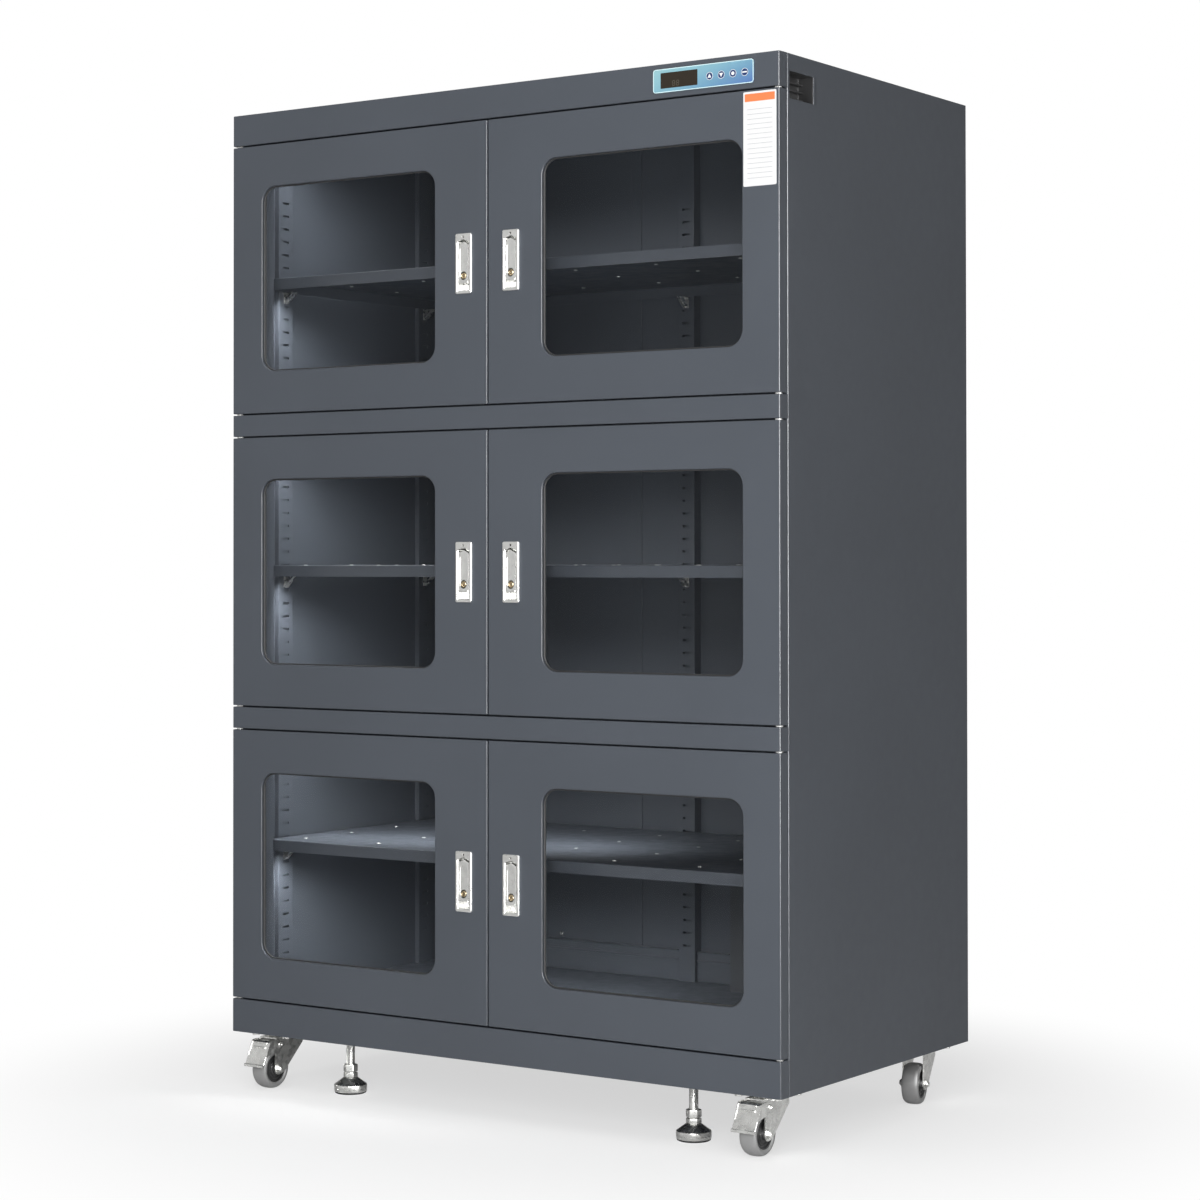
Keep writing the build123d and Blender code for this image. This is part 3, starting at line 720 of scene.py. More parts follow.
def dress(node: str, finish: Finish) -> None:
    """Give a finish to a CAD node that is shown as it is.

    Args:
        node: The node's name.
        finish: The finish.
    """
    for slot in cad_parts[node].material_slots:
        slot.material = finish.material()
    LOG.info("%s dressed in %s", node, finish.name)


# ---- Carcass ------------------------------------------------------------------------------------
@dataclass
class Carcass:
    """Side panels, front channels, posts, seals and hinge pins."""

    bend: float = 2.4
    soft: float = 1.2
    cut_edge: float = 0.4
    cut_reach: float = 10.0
    side_return: float = 3.5
    lip: float = 28.0
    pocket_y: Flat = (-300.0, -219.0)
    pocket_z: Flat = (1765.0, 1811.0)
    pocket_depth: float = 30.0
    pocket_steps: tuple[float, ...] = (11.0, 24.0, 37.0)
    step_size: Flat = (10.0, 2.5)
    strip_y: Flat = (6.2, 9.2)
    post_outer: float = 596.4
    post_depth: float = 46.0
    tube_half: float = 14.0
    tube_set: Flat = (1.5, 31.5)
    seal_steps: tuple[Point, ...] = ((14.0, 10.0, 2.0), (12.2, 6.4, 3.7))
    seal_corner: float = 6.0
    pin_radius: float = 4.0
    pin_ends: Flat = (10.0, 14.0)
    washer: Flat = (6.0, 1.3)

    def side(self, pocket: bool) -> Shape:
        """Right-hand side panel with its front bend.

        Args:
            pocket: Whether the side pocket is cut in it.

        Returns:
            The panel.
        """
        face, inside = PLAN.frame_face, PLAN.half - PLAN.sheet
        panel = Shape.block((PLAN.half - self.side_return, face, PLAN.base),
                            (PLAN.half, PLAN.back, PLAN.top))
        panel.round(self.bend, 5, lambda a, b: lies(a, b, x=PLAN.half, y=face))
        start, end = PLAN.half - self.cut_reach, PLAN.half + self.cut_reach
        cutters = [Shape.block((start, face + PLAN.sheet, PLAN.base - 1),
                               (inside, PLAN.back + 1, PLAN.top + 1))]
        if pocket:
            cutters.append(Shape.block((start, self.pocket_y[0], self.pocket_z[0]),
                                       (end, self.pocket_y[1], self.pocket_z[1])))
        return panel.carve(*cutters)

    def pocket(self) -> Shape:
        """Pan behind the opening, with its inner steps.

        Returns:
            The pan.
        """
        inside = PLAN.half - PLAN.sheet
        (y0, y1), (z0, z1) = self.pocket_y, self.pocket_z
        floor = inside - self.pocket_depth
        steel = PLAN.sheet
        pan = Shape.block((floor, y0 - steel, z0 - steel), (inside, y1 + steel, z1 + steel))
        pan.carve(Shape.block((floor + steel, y0, z0), (inside + 5, y1, z1)))
        reach, rise = self.step_size
        for drop in self.pocket_steps:
            pan.add(Shape.block((floor + steel, y0, z1 - drop - rise), (floor + reach, y1, z1 - drop),
                                self.cut_edge))
        return pan

    def pocket_strip(self) -> Shape:
        """Raised strip beside the pocket.

        Returns:
            The strip.
        """
        (_, y1), (z0, z1) = self.pocket_y, self.pocket_z
        start, end = (y1 + step for step in self.strip_y)
        return Shape.block((PLAN.half - 2, start, z0 - 1), (PLAN.half, end, z1 + 1), 0.9)

    def channel(self, low: float, high: float, lips: Sequence[int]) -> Shape:
        """Folded channel across the front.

        Args:
            low: Its lower edge.
            high: Its upper edge.
            lips: 1 for a lip above it behind the doors, -1 for one below.

        Returns:
            The channel.
        """
        bar = Shape.block((-PLAN.half, PLAN.front, low), (PLAN.half, PLAN.frame_face, high))
        bar.round(self.bend, 5, lambda a, b: lies(a, b, y=PLAN.front) and not near(a.z, b.z))
        bar.round(self.soft, 3, lambda a, b: near(a.z, b.z) and max(a.y, b.y) < PLAN.frame_face - 5)
        for way in lips:
            root = high if way > 0 else low
            foot, head = sorted((root - way, root + way * self.lip))
            bar.add(Shape.block((-PLAN.post_inner, PLAN.frame_face + 0.05, foot),
                                (PLAN.post_inner, PLAN.frame_face + PLAN.sheet, head)))
        return bar

    def post(self) -> Shape:
        """Angle behind the outer edges of the right-hand doors.

        Returns:
            The post.
        """
        inner, face, foot = PLAN.post_inner, PLAN.frame_face, PLAN.floor_top
        skin, head = face + PLAN.sheet, PLAN.top - PLAN.sheet
        post = Shape.block((inner, face, foot), (self.post_outer, skin, head), self.cut_edge, 2)
        return post.add(Shape.block((inner, skin, foot),
                                    (inner + PLAN.sheet, face + self.post_depth, head)))

    def posts(self) -> Shape:
        """Posts behind the outer door edges, the mullion and its strike plates.

        Returns:
            All of them.
        """
        face = PLAN.frame_face
        start, end = (face + reach for reach in self.tube_set)
        tube = Shape.block((-self.tube_half, start, PLAN.floor_top),
                           (self.tube_half, end, PLAN.top - PLAN.sheet), 2.0, 3,
                           lambda a, b: not near(a.z, b.z))
        group = self.post().add(self.post().flipped(), tube)
        for row in PLAN.rows:
            low = PLAN.bottom(row) - PLAN.gap + self.lip
            high = PLAN.bottom(row) + PLAN.door_height + PLAN.gap - self.lip
            group.add(Shape.block((-PLAN.strike, face, low), (PLAN.strike, face + PLAN.sheet, high),
                                  self.cut_edge, 2))
        return group

    def seals(self) -> Shape:
        """Bellows seals on the frame face, one round each opening.

        Returns:
            The seals.
        """
        width = PLAN.post_inner - PLAN.strike
        height = PLAN.door_height + 2 * PLAN.gap - 2 * self.lip
        seals = Shape()
        for row in PLAN.rows:
            for sign in SIDES.values():
                centre = (sign * (PLAN.strike + PLAN.post_inner) / 2,
                          PLAN.bottom(row) + PLAN.door_height / 2)
                for grow, rim, proud in self.seal_steps:
                    seals.add(Shape.plate(centre, (width + 2 * grow, height + 2 * grow),
                                          PLAN.frame_face - proud, PLAN.frame_face,
                                          corner=self.seal_corner, steps=4, hollow=rim))
        return seals

    def pins(self) -> tuple[Shape, Shape]:
        """Hinge pins and the pale washers between the doors and the channels.

        Returns:
            The pins and the washers.
        """
        pins, washers = Shape(), Shape()
        inner, outer = self.pin_ends
        radius, half = self.washer
        for sign in SIDES.values():
            centre = (sign * PLAN.hinge_x, PLAN.hinge_y)
            for row in PLAN.rows:
                low = PLAN.bottom(row)
                for end, way in ((low, -1), (low + PLAN.door_height, 1)):
                    pins.add(Shape.rod((*centre, end - way * inner), (*centre, end + way * outer),
                                       self.pin_radius, edge=0.8))
                    middle = end + way * PLAN.gap / 2
                    washers.add(Shape.rod((*centre, middle - half), (*centre, middle + half),
                                          radius, edge=0.4))
        return pins, washers

    def build(self) -> None:
        """Make the carcass and dress the CAD panels that stay."""
        sides = self.side(True).add(self.side(False).flipped(), self.pocket_strip())
        place(sides, "side_sheets", "cabinet", COAT, ("side_panels",), edge=0.35)
        place(self.pocket(), "side_pocket", "cabinet", BLACK, edge=0.4)
        rails = self.channel(PLAN.base, PLAN.floor_top, (1,))
        for row in PLAN.rows[:-1]:
            low = PLAN.bottom(row) + PLAN.door_height + PLAN.gap
            rails.add(self.channel(low, low + PLAN.rail, (1, -1)))
        place(rails, "front_channels", "cabinet", COAT, ("front_rails",))
        place(self.channel(PLAN.header, PLAN.top, (-1,)), "header_channel", "cabinet", COAT,
              ("header",))
        place(self.posts(), "door_posts", "cabinet", COAT, ("frame_posts",))
        place(self.seals(), "bellows_seals", "cabinet", RUBBER, ("door_seals",), edge=0.8)
        pins, washers = self.pins()
        place(pins, "pivot_pins", "cabinet", ZINC, ("hinge_pins",))
        # The washers are pale nylon, and their pale colour also paints the highlight dots at the door
        # gaps.
        place(washers, "pin_washers", "cabinet", PALE_NYLON_AND_GLINT)
        for node in ("back_panel", "top_panel", "floor_panel", "base_frame"):
            dress(node, COAT)


# ---- Doors --------------------------------------------------------------------------------------
@dataclass
class Door:
    """One glazed door with its flush lock, drawn as a right-hand door standing at height 0."""

    row: str
    side: str
    thickness: float = 23.5
    free_edge: float = 1.5
    window: Flat = (410.0, 348.0)
    window_x: float = 323.0
    window_corner: float = 30.0
    glass_setback: float = 8.0
    glass: float = 4.0
    pane_grow: float = 10.0
    pane_play: float = 0.2
    play: float = 0.3
    pin_hole: Flat = (4.1, 10.3)
    skin_size: Flat = (520.0, 440.0)
    lock_x: float = 52.0
    lock_top: float = 306.833
    rim_size: Flat = (35.0, 108.0)
    rim_proud: float = 3.0
    case_size: Flat = (30.0, 100.0)
    case_depth: float = 18.0
    key_z: float = 230.833
    key_hole: float = 5.6
    lever_height: float = 90.0
    lever_half: float = 11.4

    @property
    def name(self) -> str:
        """Start of the names of the door's nodes."""
        return f"{self.row}_{self.side}"

    @property
    def middle(self) -> float:
        """Height of the door's middle."""
        return PLAN.door_height / 2

    def settle(self, shape: Shape) -> Shape:
        """Move a shape drawn for the right-hand door to this door's own place.

        Args:
            shape: The shape.

        Returns:
            The shape.
        """
        if SIDES[self.side] < 0:
            shape.flipped()
        return shape.moved((0, 0, PLAN.bottom(self.row)))

    def leaf(self) -> Shape:
        """Folded door leaf with its window, lock cut-out and pin holes.

        Returns:
            The leaf.
        """
        front, back = PLAN.front, PLAN.front + self.thickness
        leaf = Shape.block((self.free_edge, front, 0), (PLAN.half, back, PLAN.door_height))
        leaf.round(2.2, 4, lambda a, b: lies(a, b, y=front) and not near(a.z, b.z))
        leaf.round(1.4, 3, lambda a, b: near(a.z, b.z) and max(a.y, b.y) < back - 2)
        centre, lock = (self.window_x, self.middle), (self.lock_x, self.middle)
        pane = tuple(size + 2 * (self.pane_grow + self.play) for size in self.window)
        recess = tuple(size + 2 * self.play for size in self.case_size)
        lock_back = front + self.case_depth
        holes = [Shape.plate(centre, self.window, front - 5, front + 12,
                             corner=self.window_corner, steps=12),
                 Shape.plate(centre, pane, front + self.glass_setback, back + 5),
                 Shape.plate(lock, recess, front - 5, lock_back + self.play),
                 Shape.plate((self.lock_x, self.key_z), (17.6, 17.6), lock_back - 1, back + 5)]
        radius, depth = self.pin_hole
        pin = (PLAN.hinge_x, PLAN.hinge_y)
        for end in (-1.0, PLAN.door_height - depth):
            holes.append(Shape.rod((*pin, end), (*pin, end + depth + 1.0), radius))
        leaf.carve(*holes)
        width, height = (size / 2 + 1 for size in self.window)
        leaf.round(1.6, 3, lambda a, b: lies(a, b, y=front)
                   and all(abs(end.x - centre[0]) < width and abs(end.z - centre[1]) < height
                           for end in (a, b)))
        return leaf

    def gasket(self) -> Shape:
        """Rubber bead round the glass, in front and behind.

        Returns:
            Both rims of the bead.
        """
        front = PLAN.front + self.glass_setback
        back = front + self.glass
        centre = (self.window_x, self.middle)
        bead = Shape.plate(centre, self.window, front - 3.6, front,
                           corner=self.window_corner, steps=12, hollow=2.6)
        outer = tuple(size + 2 * self.pane_grow - 1 for size in self.window)
        return bead.add(Shape.plate(centre, outer, back, back + 5, corner=3, steps=3, hollow=7.0))

    def pane(self) -> Shape:
        """The glass.

        Returns:
            The pane.
        """
        size = tuple(size + 2 * (self.pane_grow - self.pane_play) for size in self.window)
        front = PLAN.front + self.glass_setback
        return Shape.plate((self.window_x, self.middle), size, front, front + self.glass)

    def inner_skin(self) -> Shape:
        """Stamped border on the back of the door.

        Returns:
            The border.
        """
        back = PLAN.front + self.thickness
        return Shape.plate((self.window_x - 22, self.middle), self.skin_size, back - 0.2, back + 1.0,
                           corner=14, steps=5, hollow=24.0)

    def build(self) -> None:
        """Make the door's pieces and its lock."""
        body = f"{self.name}_door"
        place(self.settle(self.leaf()), f"{self.name}_leaf", body, COAT, (f"{self.name}_door",),
              edge=0.6)
        place(self.settle(self.gasket()), f"{self.name}_bead", body, RUBBER, edge=0.7)
        pane = place(self.settle(self.pane()), f"{self.name}_pane", body, GLASS,
                     (f"{self.name}_window",), edge=0.3)
        pane.visible_shadow = False
        place(self.settle(self.inner_skin()), f"{self.name}_inner_rim", body, COAT, edge=0.5)
        self.lock()

    def lock_case(self) -> Shape:
        """Cast lock case with its gabled pocket.

        Returns:
            The case.
        """
        x, front, top = self.lock_x, PLAN.front, self.lock_top
        face, back = front - self.rim_proud, front + self.case_depth
        case = Shape.plate((x, self.middle), self.rim_size, face, front + 0.2, corner=3.2, steps=5)
        case.round(1.1, 3, lambda a, b: lies(a, b, y=face))
        case.add(Shape.plate((x, self.middle), self.case_size, front, back))
        floor = self.middle - 48
        mouth = ((x - 13.4, floor - 1.5), (x + 13.4, floor - 1.5), (x + 13.4, top - 16),
                 (x + 4, top - 10.6), (x - 4, top - 10.6), (x - 13.4, top - 16))
        pocket = ((x - 12, floor), (x + 12, floor), (x + 12, top - 14.6), (x, top - 11),
                  (x - 12, top - 14.6))
        key, dimple = (self.key_z, self.key_hole), (top - 6.4, 1.9)
        case.carve(Shape.prism(mouth, front - 5, front - 1.4),
                   Shape.prism(pocket, front - 5, front + 14),
                   Shape.rod((x, front - 6, key[0]), (x, front + 30, key[0]), key[1]),
                   Shape.rod((x, front - 6, dimple[0]), (x, front + 8, dimple[0]), dimple[1]),
                   Shape.plate((x, top - 20), (28.6, 4.1), front + 2.9, front + 7.1))
        boss = Shape.plate((x, key[0]), (17, 17), back, back + 7, corner=2, steps=3)
        boss.carve(Shape.rod((x, front, key[0]), (x, front + 30, key[0]), key[1]))
        return case.add(boss)

    def lever(self) -> Shape:
        """Gabled pull lever with a turned-out lip and an oval window.

        Returns:
            The lever.
        """
        x, top, half = self.lock_x, self.lock_top, self.lever_half
        face, low = PLAN.front - 2, self.lock_top - self.lever_height
        outline = ((x - half, low), (x + half, low), (x + half, top - 20), (x, top - 14.3),
                   (x - half, top - 20))
        lever = Shape.prism(outline, face, face + 8)
        lever.round(1.9, 3, lambda a, b: lies(a, b, y=face))
        dish = Shape.plate((x, low + 37), (15.5, 56), face - 2, face + 0.8, corner=5, steps=4)
        oval = Shape.plate((x, self.key_z), (12.4, 15.4), face - 4, face + 11, corner=6.1, steps=8)
        lever.carve(dish, oval)
        lip = Shape.block((x - half + 1, face - 1, low + 0.4), (x + half - 1, face + 3, low + 4.2), 0.9)
        pins = Shape.rod((x - 14, face + 7, top - 20), (x + 14, face + 7, top - 20), 1.9)
        return lever.add(lip, pins)

    def cylinder(self) -> tuple[Shape, Shape]:
        """Key cylinder with its keyway, and the cam and nut behind it.

        Returns:
            The brass cylinder and the zinc cam.
        """
        x, front, z = self.lock_x, PLAN.front, self.key_z
        plug = Shape.lathe(((0, 36.9), (5.5, 36.9), (5.5, 0.7), (4.9, 0.0), (3.9, 0.0), (3.7, 0.5),
                            (0, 0.5)), (x, front - 2, z), (0, 1, 0), 40)
        plug.carve(Shape.block((x - 0.9, front - 5, z - 3.4), (x + 0.9, front + 1, z + 3.4)))
        cam_front = PLAN.frame_face + PLAN.sheet + 1.3
        cam = Shape.plate((x, z - 12), (12, 36), cam_front, cam_front + 3, corner=5, steps=5)
        cam.add(Shape.rod((x, cam_front + 3, z), (x, cam_front + 6, z), 5.5, sides=6, edge=0.4))
        return plug, cam

    def lock(self) -> None:
        """Make the lock's pieces."""
        place(self.settle(self.lock_case()), f"{self.name}_lock_frame", f"{self.name}_door", CHROME,
              (f"{self.name}_lock_case",), edge=0.35)
        place(self.settle(self.lever()), f"{self.name}_pull", f"{self.name}_lever", CHROME,
              (f"{self.name}_lock_lever",), edge=0.3)
        plug, cam = self.cylinder()
        place(self.settle(plug), f"{self.name}_key_plug", f"{self.name}_latch", BRASS,
              (f"{self.name}_lock_cylinder",), edge=0.15)
        place(self.settle(cam), f"{self.name}_cam", f"{self.name}_latch", ZINC, edge=0.4)


# ---- Inside -------------------------------------------------------------------------------------
@dataclass
class Interior:
    """Slotted uprights, shelves on their hooks, the back wall's fittings and the drying unit."""

    upright_width: float = 42.0
    side_depth: float = 10.0
    slot: Flat = (17.0, 4.0)
    steel: float = 1.5
    bend: float = 1.4
    rear_size: Flat = (38.0, 23.0)
    places: Flat = (-193.0, 248.0)
    shelf_half: float = 588.0
    shelf_y: Flat = (-250.0, 322.8)
    hook_half: float = 7.0
    hook_drop: float = 22.0
    hook_reach: float = 22.0
    hook_steel: float = 1.6
    strut_length: float = 29.5
    strut_slope: float = 44.0
    ledge_half: float = 598.0
    ledge_top: float = 226.0
    ledge_depth: float = 14.0
    bead_z: Flat = (206.0, 210.0)
    fold_x: Flat = (-142.0, -118.0)
    fold_top: float = 1838.0
    screw: Point = (-306.0, 334.5, 238.0)
    shelf_bend: float = 1.6
    stud_radius: float = 3.6
    stud_ends: Flat = (2.2, 0.7)
    stud_x: tuple[float, ...] = (-536.0, -357.0, -178.0, 0.0, 178.0, 357.0, 536.0)
    stud_y: tuple[float, ...] = (-196.0, -57.0, 86.0, 228.0)

    def upright(self, width: float, depth: float) -> Shape:
        """Slotted channel with its face on the plane X = 0, open towards +X.

        Args:
            width: Its width.
            depth: Depth of its sides.

        Returns:
            The channel.
        """
        shape = Shape()
        bm = shape.bm
        count = PLAN.slot_count
        bmesh.ops.create_grid(bm, x_segments=3, y_segments=2 * count + 1, size=0.5)
        half, tongue = self.slot[0] / 2, self.slot[1] / 2
        levels = [PLAN.floor_top]
        for index in range(count):
            middle = PLAN.first_slot + index * PLAN.slot_pitch
            levels += [middle - tongue, middle + tongue]
        levels.append(PLAN.top - PLAN.sheet)
        across = (-width / 2, -half, half, width / 2)
        columns, lines = (sorted({round(vert.co[axis], 4) for vert in bm.verts}) for axis in (0, 1))
        for vert in bm.verts:
            column, line = columns.index(round(vert.co.x, 4)), lines.index(round(vert.co.y, 4))
            vert.co = (0.0, across[column], levels[line])
        holes = []
        for face in bm.faces:
            middle = face.calc_center_median()
            turn = (middle.z - PLAN.first_slot) / PLAN.slot_pitch
            if abs(middle.y) < half and abs(turn - round(turn)) < 0.01:
                holes.append(face)
        bmesh.ops.delete(bm, geom=holes, context="FACES")
        rims = [edge for edge in bm.edges if all(near(abs(vert.co.y), width / 2)
                                                 for vert in edge.verts)]
        walls = bmesh.ops.extrude_edge_only(bm, edges=rims)["geom"]
        bmesh.ops.translate(bm, vec=(depth, 0, 0),
                            verts=[part for part in walls if isinstance(part, BMVert)])
        shape.round(self.bend, 2, lambda a, b: near(abs(a.y), width / 2)
                    and near(abs(b.y), width / 2) and lies(a, b, x=0.0))
        return shape.thicken(self.steel, (-1, 0, 0))

    def uprights(self) -> Shape:
        """All five uprights in their places.

        Returns:
            The uprights.
        """
        group = Shape()
        for place_y in self.places:
            right, left = (self.upright(self.upright_width, self.side_depth)
                           .moved((PLAN.upright_face, place_y, 0)) for _ in SIDES)
            group.add(right, left.flipped())
        rear = self.upright(*self.rear_size)
        return group.add(rear.turned(90.0, "Z").moved((0, PLAN.rear_upright, 0)))

    def shelves(self) -> Shape:
        """Folded trays.

        Returns:
            The five shelves.
        """
        group = Shape()
        (y0, y1), half, steel = self.shelf_y, self.shelf_half, PLAN.sheet
        for level in PLAN.shelf_levels():
            top = level + PLAN.shelf_height
            tray = Shape.block((-half, y0, level), (half, y1, top))
            tray.round(self.shelf_bend, 3, lambda a, b, top=top: lies(a, b, z=top))
            group.add(tray.carve(Shape.block((steel - half, y0 + steel, level - 5),
                                             (half - steel, y1 - steel, top - steel))))
        return group

    def studs(self) -> Shape:
        """Flush rivets of the shelves, seen from above and below.

        Returns:
            The rivets.
        """
        group = Shape()
        below, above = self.stud_ends
        for level in PLAN.shelf_levels():
            top = level + PLAN.shelf_height
            for x in self.stud_x:
                for y in self.stud_y:
                    group.add(Shape.rod((x, y, top - below), (x, y, top + above),
                                        self.stud_radius, sides=16, edge=0.4))
        return group

    def hook(self, level: float) -> Shape:
        """Bent shelf hook on the plane X = 0, reaching towards +X.

        Args:
            level: Height of the shelf's underside.

        Returns:
            The hook.
        """
        half, steel, low = self.hook_half, self.hook_steel, level - self.hook_drop
        seat = level - 0.2
        hook = Shape.block((0, -half, low), (steel, half, seat), 0.5, 2)
        hook.add(Shape.block((0, -half, seat - steel), (self.hook_reach, half, seat), 0.5, 2))
        for start, end in ((-half, -1), (1, half)):
            strut = Shape.block((0, start, -steel / 2), (self.strut_length, end, steel / 2), 0.6, 2)
            hook.add(strut.turned(-self.strut_slope, "Y").moved((steel / 2, 0, low + 1)))
        return hook

    def hooks(self) -> Shape:
        """Hooks in the slots of all five uprights.

        Returns:
            The hooks.
        """
        group = Shape()
        for level in PLAN.shelf_levels():
            for place_y in self.places:
                left, right = (self.hook(level).moved((-PLAN.upright_face, place_y, 0))
                               for _ in SIDES)
                group.add(left, right.flipped())
            group.add(self.hook(level).turned(-90.0, "Z").moved((0, PLAN.rear_upright, 0)))
        return group

    def back_wall(self) -> Shape:
        """Ledge of the back wall with its bead, and the fold above it.

        Returns:
            All three.
        """
        wall, half, top = PLAN.back - PLAN.sheet, self.ledge_half, self.ledge_top
        face = wall - self.ledge_depth
        (low, high), (left, right) = self.bead_z, self.fold_x
        group = Shape.block((-half, face, PLAN.floor_top), (half, wall, top), 1.2, 3)
        group.add(Shape.block((-half, face - 2.5, low), (half, face + 1, high), 0.8, 2))
        return group.add(Shape.block((left, wall - 3, top), (right, wall, self.fold_top), 1.2, 3))

    def build(self) -> None:
        """Make the inside."""
        place(self.uprights(), "slotted_uprights", "cabinet", COAT, ("shelf_uprights",))
        place(self.shelves(), "shelf_trays", "cabinet", COAT, ("shelves",))
        place(self.studs(), "shelf_studs", "cabinet", PALE_NYLON_AND_GLINT)
        place(self.hooks(), "shelf_clips", "cabinet", ZINC, ("shelf_hooks",))
        place(self.back_wall(), "back_wall_ledge", "cabinet", COAT)
        screw = Shape.lathe(((0, 2.2), (2.4, 1.8), (4.2, 0)), self.screw, (0, -1, 0), 20)
        place(screw, "back_wall_screw", "cabinet", ZINC)
        dress("drying_unit", DRYER)
        dress("desiccant_tray", TRAY)
        dress("power_inlet", BLACK)


# ---- Control panel and card ---------------------------------------------------------------------
@dataclass
class ControlPanel:
    """Printed panel in the header with its display and film keys."""

    face: float = -336.0
    display_x: Flat = (368.0, 442.0)
    display_z: Flat = (1797.7, 1824.3)
    digits_x: Flat = (392.0, 400.0)
    digits_z: float = 1801.0
    digit_size: Flat = (4.6, 8.5)
    bar: float = 0.55
    keys: tuple[float, ...] = (466.0, 489.0, 512.0, 535.0)
    key_z: float = 1810.0
    key_radius: float = 6.0
    card_x: Flat = (531.0, 595.0)
    card_z: Flat = (1618.0, 1776.0)
    card_rules: int = 15
    rule_pitch: float = 8.2

    def panel(self, x: Flat, z: Flat, start: float, end: float, corner: float, steps: int,
              hollow: float = 0.0) -> Shape:
        """Upright plate that fills a span along X and one in height.

        Args:
            x: Its two sides.
            z: Its lower and upper edge.
            start: Its front.
            end: Its back.
            corner: Rounding of the corners.
            steps: Facets of each corner.
            hollow: Width of the rim that is kept, or 0 for a full plate.

        Returns:
            The plate.
        """
        return Shape.plate((sum(x) / 2, sum(z) / 2), (x[1] - x[0], z[1] - z[0]), start, end,
                           corner=corner, steps=steps, hollow=hollow)

    def digit(self, x: float) -> Shape:
        """Figure eight of thin bars.

        Args:
            x: Its left side.

        Returns:
            The figure.
        """
        (width, height), half = self.digit_size, self.bar / 2
        figure, z = Shape(), self.digits_z
        near_face, far_face = self.face - 0.12, self.face + 0.1
        for level in (z, z + height / 2, z + height):
            figure.add(Shape.block((x + 0.5, near_face, level - half),
                                   (x + width - 0.5, far_face, level + half)))
        for side in (x, x + width):
            for low in (z + 0.5, z + height / 2 + 0.5):
                figure.add(Shape.block((side - half, near_face, low),
                                       (side + half, far_face, low + height / 2 - 1)))
        return figure

    def icons(self) -> Shape:
        """Signs on the keys: up, down, set and minus.

        Returns:
            The signs.
        """
        up, down, ring, bar = self.keys
        z, near_face, far_face = self.key_z, self.face - 0.45, self.face
        signs = Shape()
        for x, way in ((up, 1), (down, -1)):
            triangle = ((x - 3.7, z - way * 2.7), (x + 3.7, z - way * 2.7), (x, z + way * 3.9))
            signs.add(Shape.prism(triangle, near_face, far_face))
        signs.add(Shape.rod((ring, near_face, z), (ring, far_face, z), 3.1, sides=24))
        return signs.add(Shape.block((bar - 4.4, near_face, z - 1.1), (bar + 4.4, far_face, z + 1.1)))

    def build(self) -> None:
        """Make the panel."""
        face, back = self.face, PLAN.front + 0.5
        bezel = self.panel(PLAN.panel_x, PLAN.panel_z, face, back, 5, 8)
        place(bezel, "panel_film_sheet", "cabinet", FILM, ("control_panel",), edge=0.4)
        rim = self.panel(PLAN.panel_x, PLAN.panel_z, face - 0.25, face + 0.2, 5, 8, 1.3)
        place(rim, "panel_rim_line", "cabinet", FILM_RIM)
        window = self.panel(self.display_x, self.display_z, face - 0.1, face + 0.4, 1, 3)
        place(window, "panel_display", "cabinet", DISPLAY)
        figures = Shape().add(*(self.digit(x) for x in self.digits_x))
        place(figures, "panel_figures", "cabinet", DIGITS)
        rings, discs = Shape(), Shape()
        inner, outer = self.key_radius, self.key_radius + 0.6
        for x in self.keys:
            rings.add(Shape.lathe(((inner, 0), (outer, 0), (outer, 0.3), (inner, 0.3)),
                                  (x, face + 0.02, self.key_z), (0, -1, 0), 32, True))
            discs.add(Shape.rod((x, face + 0.1, self.key_z), (x, face - 0.3, self.key_z),
                                inner, edge=0.1))
        place(rings, "key_rings", "cabinet", INK_WHITE)
        place(discs, "key_discs", "cabinet", KEY_BLUE)
        place(self.icons(), "key_signs", "cabinet", INK_WHITE)
        self.card()

    def card(self) -> None:
        """Plain ruled record card on the upper right door."""
        body, face = "upper_right_door", PLAN.front - 0.3
        (left, right), head = self.card_x, self.card_z[1]
        sheet = self.panel(self.card_x, self.card_z, face, PLAN.front, 2.5, 5)
        place(sheet, "record_card", body, CARD)
        band = self.panel((left + 3, right - 3), (head - 16.5, head - 3.5), face - 0.1, face, 1, 3)
        place(band, "record_card_band", body, CARD_BAND)
        lines = Shape()
        for index in range(self.card_rules):
            level = head - 30 - index * self.rule_pitch
            lines.add(Shape.block((left + 8, face - 0.1, level), (right - 8, face, level + 0.6)))
        place(lines, "record_card_rules", body, CARD_INK)


